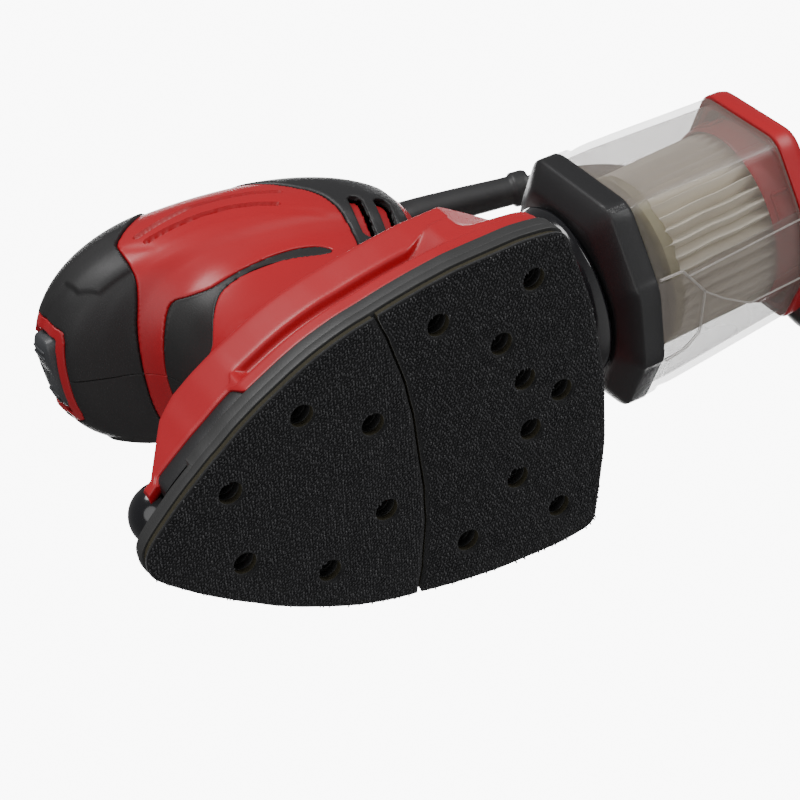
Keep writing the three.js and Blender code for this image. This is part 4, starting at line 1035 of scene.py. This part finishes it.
# black wall inside the skirt, seen where the skirt's edge is cut up in front
iw = resample(loop, 420, 8)
rings = []
for d_, z_ in ((5.6, 11.15), (3.1, 11.15), (2.9, 11.4), (2.9, 16.6), (3.1, 17.4), (5.6, 17.4)):
    q = inset(iw, d_)
    q[:, 0] = np.minimum(q[:, 0], 57.0)
    rings.append(np.column_stack([q, np.full(len(q), z_)]))
rings.append(rings[0])
obj("skirt_inner_wall", *loft(rings, False, False), M["black"], "housing", slot="black_plastic", angle=40)

# bumper
bm_r = []
for t in np.linspace(-math.pi / 2, math.pi / 2, 26):
    rr = math.cos(t)
    bm_r.append([(57.2 + 9.2 * math.sin(max(t, -1.2)) * 0.98, 9.3 * rr * math.cos(a), 19.2 + 8.2 * rr * math.sin(a)) for a in np.linspace(0, 2 * math.pi, 48, endpoint=False)])
bv_, bf_ = loft(bm_r)
bv_[:, 2] = np.maximum(bv_[:, 2], 11.4)
obj("tip_bumper", bv_, bf_, M["gloss"], "housing", ["front_bumper"], "gloss_black_plastic", angle=50)

# ------------------------------------------------------------------ dust port
pp = [(14, -46), (19.3, -46), (19.6, -46.4), (19.6, -57), (20.6, -58), (20.6, -60.2), (19.6, -61), (19.6, -68), (20.1, -70.5), (21.5, -73), (23.4, -76), (25.2, -79), (26.0, -80.6), (26.2, -81.6), (25.8, -82.5),
      (25.0, -82.9), (17.3, -82.9), (17.0, -83.2), (17.0, -91.6), (16.6, -92), (14.4, -92), (14, -91.6)]
rings = [[(x, r_ * math.cos(t), 42.9 + r_ * math.sin(t)) for t in np.linspace(0, 2 * math.pi, 96, endpoint=False)] for r_, x in pp + [pp[0]]]
obj("dust_spout", *loft(rings, False, False), M["gloss"], "housing", ["dust_port"], "gloss_black_plastic", angle=40)


# ------------------------------------------------------------------ canister
def canz(x):
    return 42.9 + max(0.0, (-95.4 - x) / (149 - 95.4)) * 4.0


def cana(x):
    return 33.7 - max(0.0, (-95.4 - x) / (149 - 95.4)) * 2.7


def hexpts(a_, f_, rnd=5.0, q=9, per=8):
    k = a_ / math.cos(math.pi / 6)
    cs = []
    t = (k - f_) / math.tan(math.pi / 6)
    for i in range(6):
        y, z = k * math.cos(math.pi / 6 + i * math.pi / 3), k * math.sin(math.pi / 6 + i * math.pi / 3)
        if i == 1:
            cs += [(t, f_), (-t, f_)]
        elif i == 4:
            cs += [(-t, -f_), (t, -f_)]
        else:
            cs.append((y, z))
    cs = np.array(cs)
    n_ = len(cs)
    pts = []
    for i in range(n_):
        p, a1, b1, = cs[i], cs[i - 1], cs[(i + 1) % n_]
        va, vb = a1 - p, b1 - p
        la, lb = np.linalg.norm(va), np.linalg.norm(vb)
        c_ = min(rnd, la * 0.45, lb * 0.45)
        A1, B1 = p + va / la * c_, p + vb / lb * c_
        for s_ in np.linspace(0, 1, q):
            pts.append((1 - s_) ** 2 * A1 + 2 * s_ * (1 - s_) * p + s_ * s_ * B1)
        # straight run to the next corner
        b2 = cs[(i + 2) % n_]
        vb2 = p - b1
        lb2 = np.linalg.norm(vb2)
        c2 = min(rnd, lb2 * 0.45, np.linalg.norm(b2 - b1) * 0.45)
        A2 = b1 + vb2 / lb2 * c2
        for s_ in np.linspace(0, 1, per + 2)[1:-1]:
            pts.append(B1 * (1 - s_) + A2 * s_)
    return np.array(pts)


def hexring(x, d=0.0, rnd=4.5, shift=0.0):
    a_ = cana(x) - d
    h = hexpts(a_, a_ * 0.95, max(0.8, rnd))
    return np.column_stack([np.full(len(h), x + shift), h[:, 0], h[:, 1] + canz(x)])


# collar, with a raised pad on its lowest flat and a spark-eroded panel on the lower left one
prof_c = [(-83.5, 16.6, 1), (-83.5, 7.5, 4.5), (-83.7, 6.6, 4.5), (-84.2, 5.6, 4.5), (-86.2, 2.8, 4.5), (-88.2, 0.35, 4.5), (-88.8, -0.1, 4.5), (-89.4, -0.2, 4.5), (-92, -0.2, 4.5), (-94.6, -0.2, 4.5), (-95.2, 0.1, 4.5), (-95.4, 0.5, 4.5), (-95.4, 2.8, 4.5),
          (-90, 2.8, 4.5), (-88.6, 4.5, 4.5), (-86.8, 7.5, 4.5), (-86.8, 16.6, 1)]
rings = []
for x, d_, r_ in prof_c:
    h = hexring(x, d_, r_)
    if d_ > 15:
        th = np.arctan2(h[:, 2] - canz(x), h[:, 1])
        h[:, 1] = 17.3 * np.cos(th)
        h[:, 2] = canz(x) + 17.3 * np.sin(th)
    elif d_ < 2 and x > -95.3:
        # raised pad
        up = sstep(14.2, 13.4, np.abs(h[:, 1] - 0.0)) * (h[:, 2] < canz(x) - 27) * sstep(-86.9, -88.4, x)
        h[:, 2] -= 0.75 * up
    rings.append(h)
rings.append(rings[0])
cv, cf = loft(rings, False, False)
collar = obj("canister_front", cv, cf, [M["black"], M["speckle"]], "canister", ["canister_collar"], "black_plastic", angle=28)
cc = np.array([p.center[:] for p in collar.data.polygons]) * 1000
nn = np.array([p.normal[:] for p in collar.data.polygons])
sel = (np.abs(nn[:, 1] - 0.866) < 0.05) & (np.abs(nn[:, 2] + 0.5) < 0.08) & (cc[:, 0] < -89.0) & (cc[:, 0] > -94.9) & (cc[:, 2] < 31) & (cc[:, 2] > 14)
for i in np.nonzero(sel)[0]:
    collar.data.polygons[int(i)].material_index = 1

# cup: clear shell with a thickened front lip
prof_u = [(-95.75, 2.0), (-95.75, 0.5), (-95.9, 0.15), (-96.3, 0.0), (-98.4, 0.0), (-98.8, 0.25), (-99.2, 0.55), (-100.4, 0.6), (-103, 0.25), (-106, 0.1), (-120, 0.0), (-135, 0.0), (-148.6, 0.0), (-149, 0.3), (-149, 1.8),
          (-135, 1.8), (-120, 1.8), (-106, 1.8), (-98, 2.1)]
rings = [hexring(x, d_, 4.5) for x, d_ in prof_u]
rings.append(rings[0])
obj("clear_cup", *loft(rings, False, False), M["clear"], "canister", ["canister_cup"], "smoke_clear_plastic", angle=30)


def on_cup(x, y, side=-1, off=0.0):
    """point on the cup's skin at this x and y, lower side"""
    h = hexring(x, -off, 4.5)
    low_ = h[(h[:, 2] - canz(x)) * side > 0]
    o2 = np.argsort(low_[:, 1])
    return (x, y, float(np.interp(y, low_[o2, 1], low_[o2, 2])))


ridge = []


def ridge_line(pts, r=0.42, n=26, off=0.12):
    p = smooth_path_lin(pts, n)
    q = [on_cup(x, y, -1, off) for x, y in p]
    ridge.append(loft(tube_along(q, np.full(len(q), r), 8)))


def smooth_path_lin(pts, n):
    p = np.asarray(pts, float)
    d_ = np.r_[0, np.cumsum(np.linalg.norm(np.diff(p, axis=0), axis=1))]
    t = np.linspace(0, d_[-1], n)
    return np.stack([np.interp(t, d_, p[:, 0]), np.interp(t, d_, p[:, 1])], -1)


ridge_line([(-96.4, 13.2), (-104.5, 12.6), (-111.5, 3.0), (-108.5, -9.5), (-103, -13.6), (-96.4, -14.0)], 0.45, 60)
ridge_line([(-106.3, 10.4), (-125, 10.2), (-148.5, 9.9)], 0.32, 30)
ridge_line([(-111.5, 3.0), (-118, -2.5), (-128, -9.0), (-148.5, -9.9)], 0.32, 40)
# the ridges take the lighter smoke copy, a painted highlight
obj("cup_ridges", *join(ridge), M["clear_edge"], "canister", slot="smoke_clear_plastic", angle=60)

# gasket lip that shows as the fine dark line at the seam
g_r = [hexring(-95.42, 0.55), hexring(-95.72, 0.55), hexring(-95.72, 2.4), hexring(-95.42, 2.4)]
g_r.append(g_r[0])
obj("seam_gasket", *loft(g_r, False, False), M["rubber"], "canister", slot="grip_rubber", angle=30)


def ring_c(x, r_, n=96, xs=0.0):
    t = np.linspace(0, 2 * math.pi, n, endpoint=False)
    return np.column_stack([np.full(n, x + xs), r_ * np.cos(t), canz(x) + r_ * np.sin(t)])


# end cap: six-sided rim, ribbed rear face and an inner skirt
cap_prof = [(-149.25, 3.2), (-149.25, -0.3), (-149.5, -0.6), (-150, -0.7), (-153.5, -0.7), (-155.4, -0.3), (-156.5, 0.6), (-157, 2.0), (-157, 9), (-156.4, 10.0), (-156.4, 30.0)]
rings = [hexring(x, d_, 5) for x, d_ in cap_prof[:-1]]
cap_outer = rings
inner_prof = [(-154.6, 9.0), (-154.6, 3.4), (-149.25, 3.2)]
v1 = loft([*rings, *[hexring(-156.4, d_, 5) for d_ in (18, 26, 30.0)]], False, True)
v2 = loft([hexring(-149.25, 3.2, 5), hexring(-154.6, 3.4, 5), hexring(-154.6, 18, 5), hexring(-154.6, 29, 5)], False, True)
v2 = (v2[0], [tuple(reversed(f)) for f in v2[1]])
sk_r = [ring_c(-154.7, 27.6), ring_c(-142.0, 27.6), ring_c(-141.3, 27.4), ring_c(-141.0, 27.1), ring_c(-141.3, 26.8), ring_c(-154.7, 26.8)]
skirt = loft(sk_r, False, False)
# U-shaped bayonet ribs on the skirt and grip bars on the rear face
bars = []
for y in np.linspace(-15, 15, 6):
    bars.append(loft([[(-156.3, y - 1.1, canz(-157) - 17), (-156.3, y + 1.1, canz(-157) - 17), (-156.3, y + 1.1, canz(-157) + 17), (-156.3, y - 1.1, canz(-157) + 17)],
                      [(-156.95, y - 0.7, canz(-157) - 16.4), (-156.95, y + 0.7, canz(-157) - 16.4), (-156.95, y + 0.7, canz(-157) + 16.4), (-156.95, y - 0.7, canz(-157) + 16.4)]]))
ribs = []
for a_ in np.linspace(0, 2 * math.pi, 4, endpoint=False) + math.radians(-62):
    for da, x0_, x1_ in ((-0.16, -149.0, -143.5), (0.16, -149.0, -143.5)):
        path = [(x, 27.75 * math.cos(a_ + da), canz(x) + 27.75 * math.sin(a_ + da)) for x in np.linspace(x0_, x1_, 10)]
        ribs.append(loft(tube_along(path, np.full(10, 0.5), 8)))
    path = [(-143.5, 27.75 * math.cos(a_ + s_), canz(-143.5) + 27.75 * math.sin(a_ + s_)) for s_ in np.linspace(-0.16, 0.16, 12)]
    ribs.append(loft(tube_along(path, np.full(12, 0.5), 8)))
obj("canister_end_cap", *join([v1, v2, skirt, *bars, *ribs]), M["red"], "end_cap", ["end_cap"], "red_plastic", angle=30)

# filter: folded paper between its end frames
NP = 40
NPT = NP * 12


def pleat(x, k=1.0, tw=0.0):
    t = np.linspace(0, 2 * math.pi, NPT, endpoint=False)
    ph = (t * NP / (2 * math.pi)) % 1.0
    tri_ = np.abs(2 * ph - 1)  # 1 at the outer fold
    prof_ = sstep(0.04, 0.96, tri_) * 0.55 + tri_ * 0.45
    jit = 0.22 * np.sin(np.floor(t * NP / (2 * math.pi)) * 2.4 + x * 0.11)
    r_ = 21.6 + (4.6 + jit * 0.6) * prof_ * k
    tt_ = t + (0.006 * math.sin(x * 0.35)) + tw
    return np.column_stack([np.full(NPT, x), r_ * np.cos(tt_), canz(x) + r_ * np.sin(tt_)])


rings = [pleat(x) for x in np.linspace(-105.5, -147.6, 16)]
inn = [ring_c(x, 17.2, NPT) for x in np.linspace(-147.6, -105.5, 6)]
rings = [*rings, *inn]
rings.append(rings[0])
obj("filter_pleats", *loft(rings, False, False), M["paper"], "filter", ["filter_media"], "filter_paper", angle=35)
# front plate with its ring of adhesive, coloured dark olive: partly its own tone, partly painted shade at the filter's
# front end
wob = lambda t: 0.35 * np.sin(t * 9) + 0.25 * np.sin(t * 23 + 1)
gl = []
t = np.linspace(0, 2 * math.pi, 160, endpoint=False)
for x, r_, w_ in ((-103.9, 0.5, 0), (-103.9, 22.5, 0), (-103.95, 25.2, 0.3), (-104.6, 26.15, 0.2), (-106.2, 26.3, 0.15), (-107.6, 26.1, 1.0), (-108.6, 25.0, 1.6), (-108.6, 22, 0.6), (-106.5, 19, 0), (-106.5, 0.5, 0)):
    rr = np.minimum(r_ + wob(t) * 0.3 * w_, 26.4)
    gl.append(np.column_stack([x + wob(t) * w_ * 0.8, rr * np.cos(t), canz(x) + rr * np.sin(t)]))
obj("filter_front_cap", *loft(gl), M["glue"], "filter", ["filter_front_plate"], "filter_paper", angle=40)

# ------------------------------------------------------------------ floor, light, world
fl = bpy.data.meshes.new("floor")
fl.from_pydata([(-20, -20, -2.3), (20, -20, -2.3), (20, 20, -2.3), (-20, 20, -2.3)], [], [(0, 1, 2, 3)])
floor = bpy.data.objects.new("floor", fl)
bpy.context.scene.collection.objects.link(floor)
fl.materials.append(mat("floor_pale", (0.88, 0.88, 0.88), 0.8, var=0.01, bump=0.0))

world = bpy.data.worlds.new("studio")
world.use_nodes = True
bg = world.node_tree.nodes["Background"]
bg.inputs[0].default_value = (1, 1, 1, 1)
bg.inputs[1].default_value = 0.2
bpy.context.scene.world = world

# a bright paper sweep well behind the part
centre = Vector((200.93, 381.94, -475.83)) * MM + fwd * 3.4
bd = bpy.data.meshes.new("paper_backdrop")
hw = 1.1
bd.from_pydata([tuple(centre + right * a_ + down * b_) for a_, b_ in ((-hw, -hw), (hw, -hw), (hw, hw), (-hw, hw))], [], [(0, 1, 2, 3)])
backdrop = bpy.data.objects.new("paper_backdrop", bd)
bpy.context.scene.collection.objects.link(backdrop)
pm = bpy.data.materials.new("backdrop_paper")
pm.use_nodes = True
pb = pm.node_tree.nodes["Principled BSDF"]
pb.inputs["Base Color"].default_value = (0.9, 0.9, 0.9, 1)
pb.inputs["Emission Color"].default_value = (1, 1, 1, 1)
pb.inputs["Emission Strength"].default_value = 9.0
bd.materials.append(pm)


def area(name, loc, target, size, power):
    l = bpy.data.lights.new(name, "AREA")
    l.shape = "DISK"
    l.size = size
    l.energy = power
    o_ = bpy.data.objects.new(name, l)
    bpy.context.scene.collection.objects.link(o_)
    o_.location = loc
    o_.rotation_mode = "QUATERNION"
    o_.rotation_quaternion = (Vector(target) - Vector(loc)).to_track_quat("-Z", "Y")
    return o_


area("key", (0.30, 1.05, 0.42), (0, 0, 0.05), 0.6, 11)
area("rim", (-0.85, 0.85, -0.25), (-0.10, 0, 0.05), 0.7, 9)
area("fill", (0.65, 0.45, -0.45), (0, 0, 0.05), 0.8, 3)
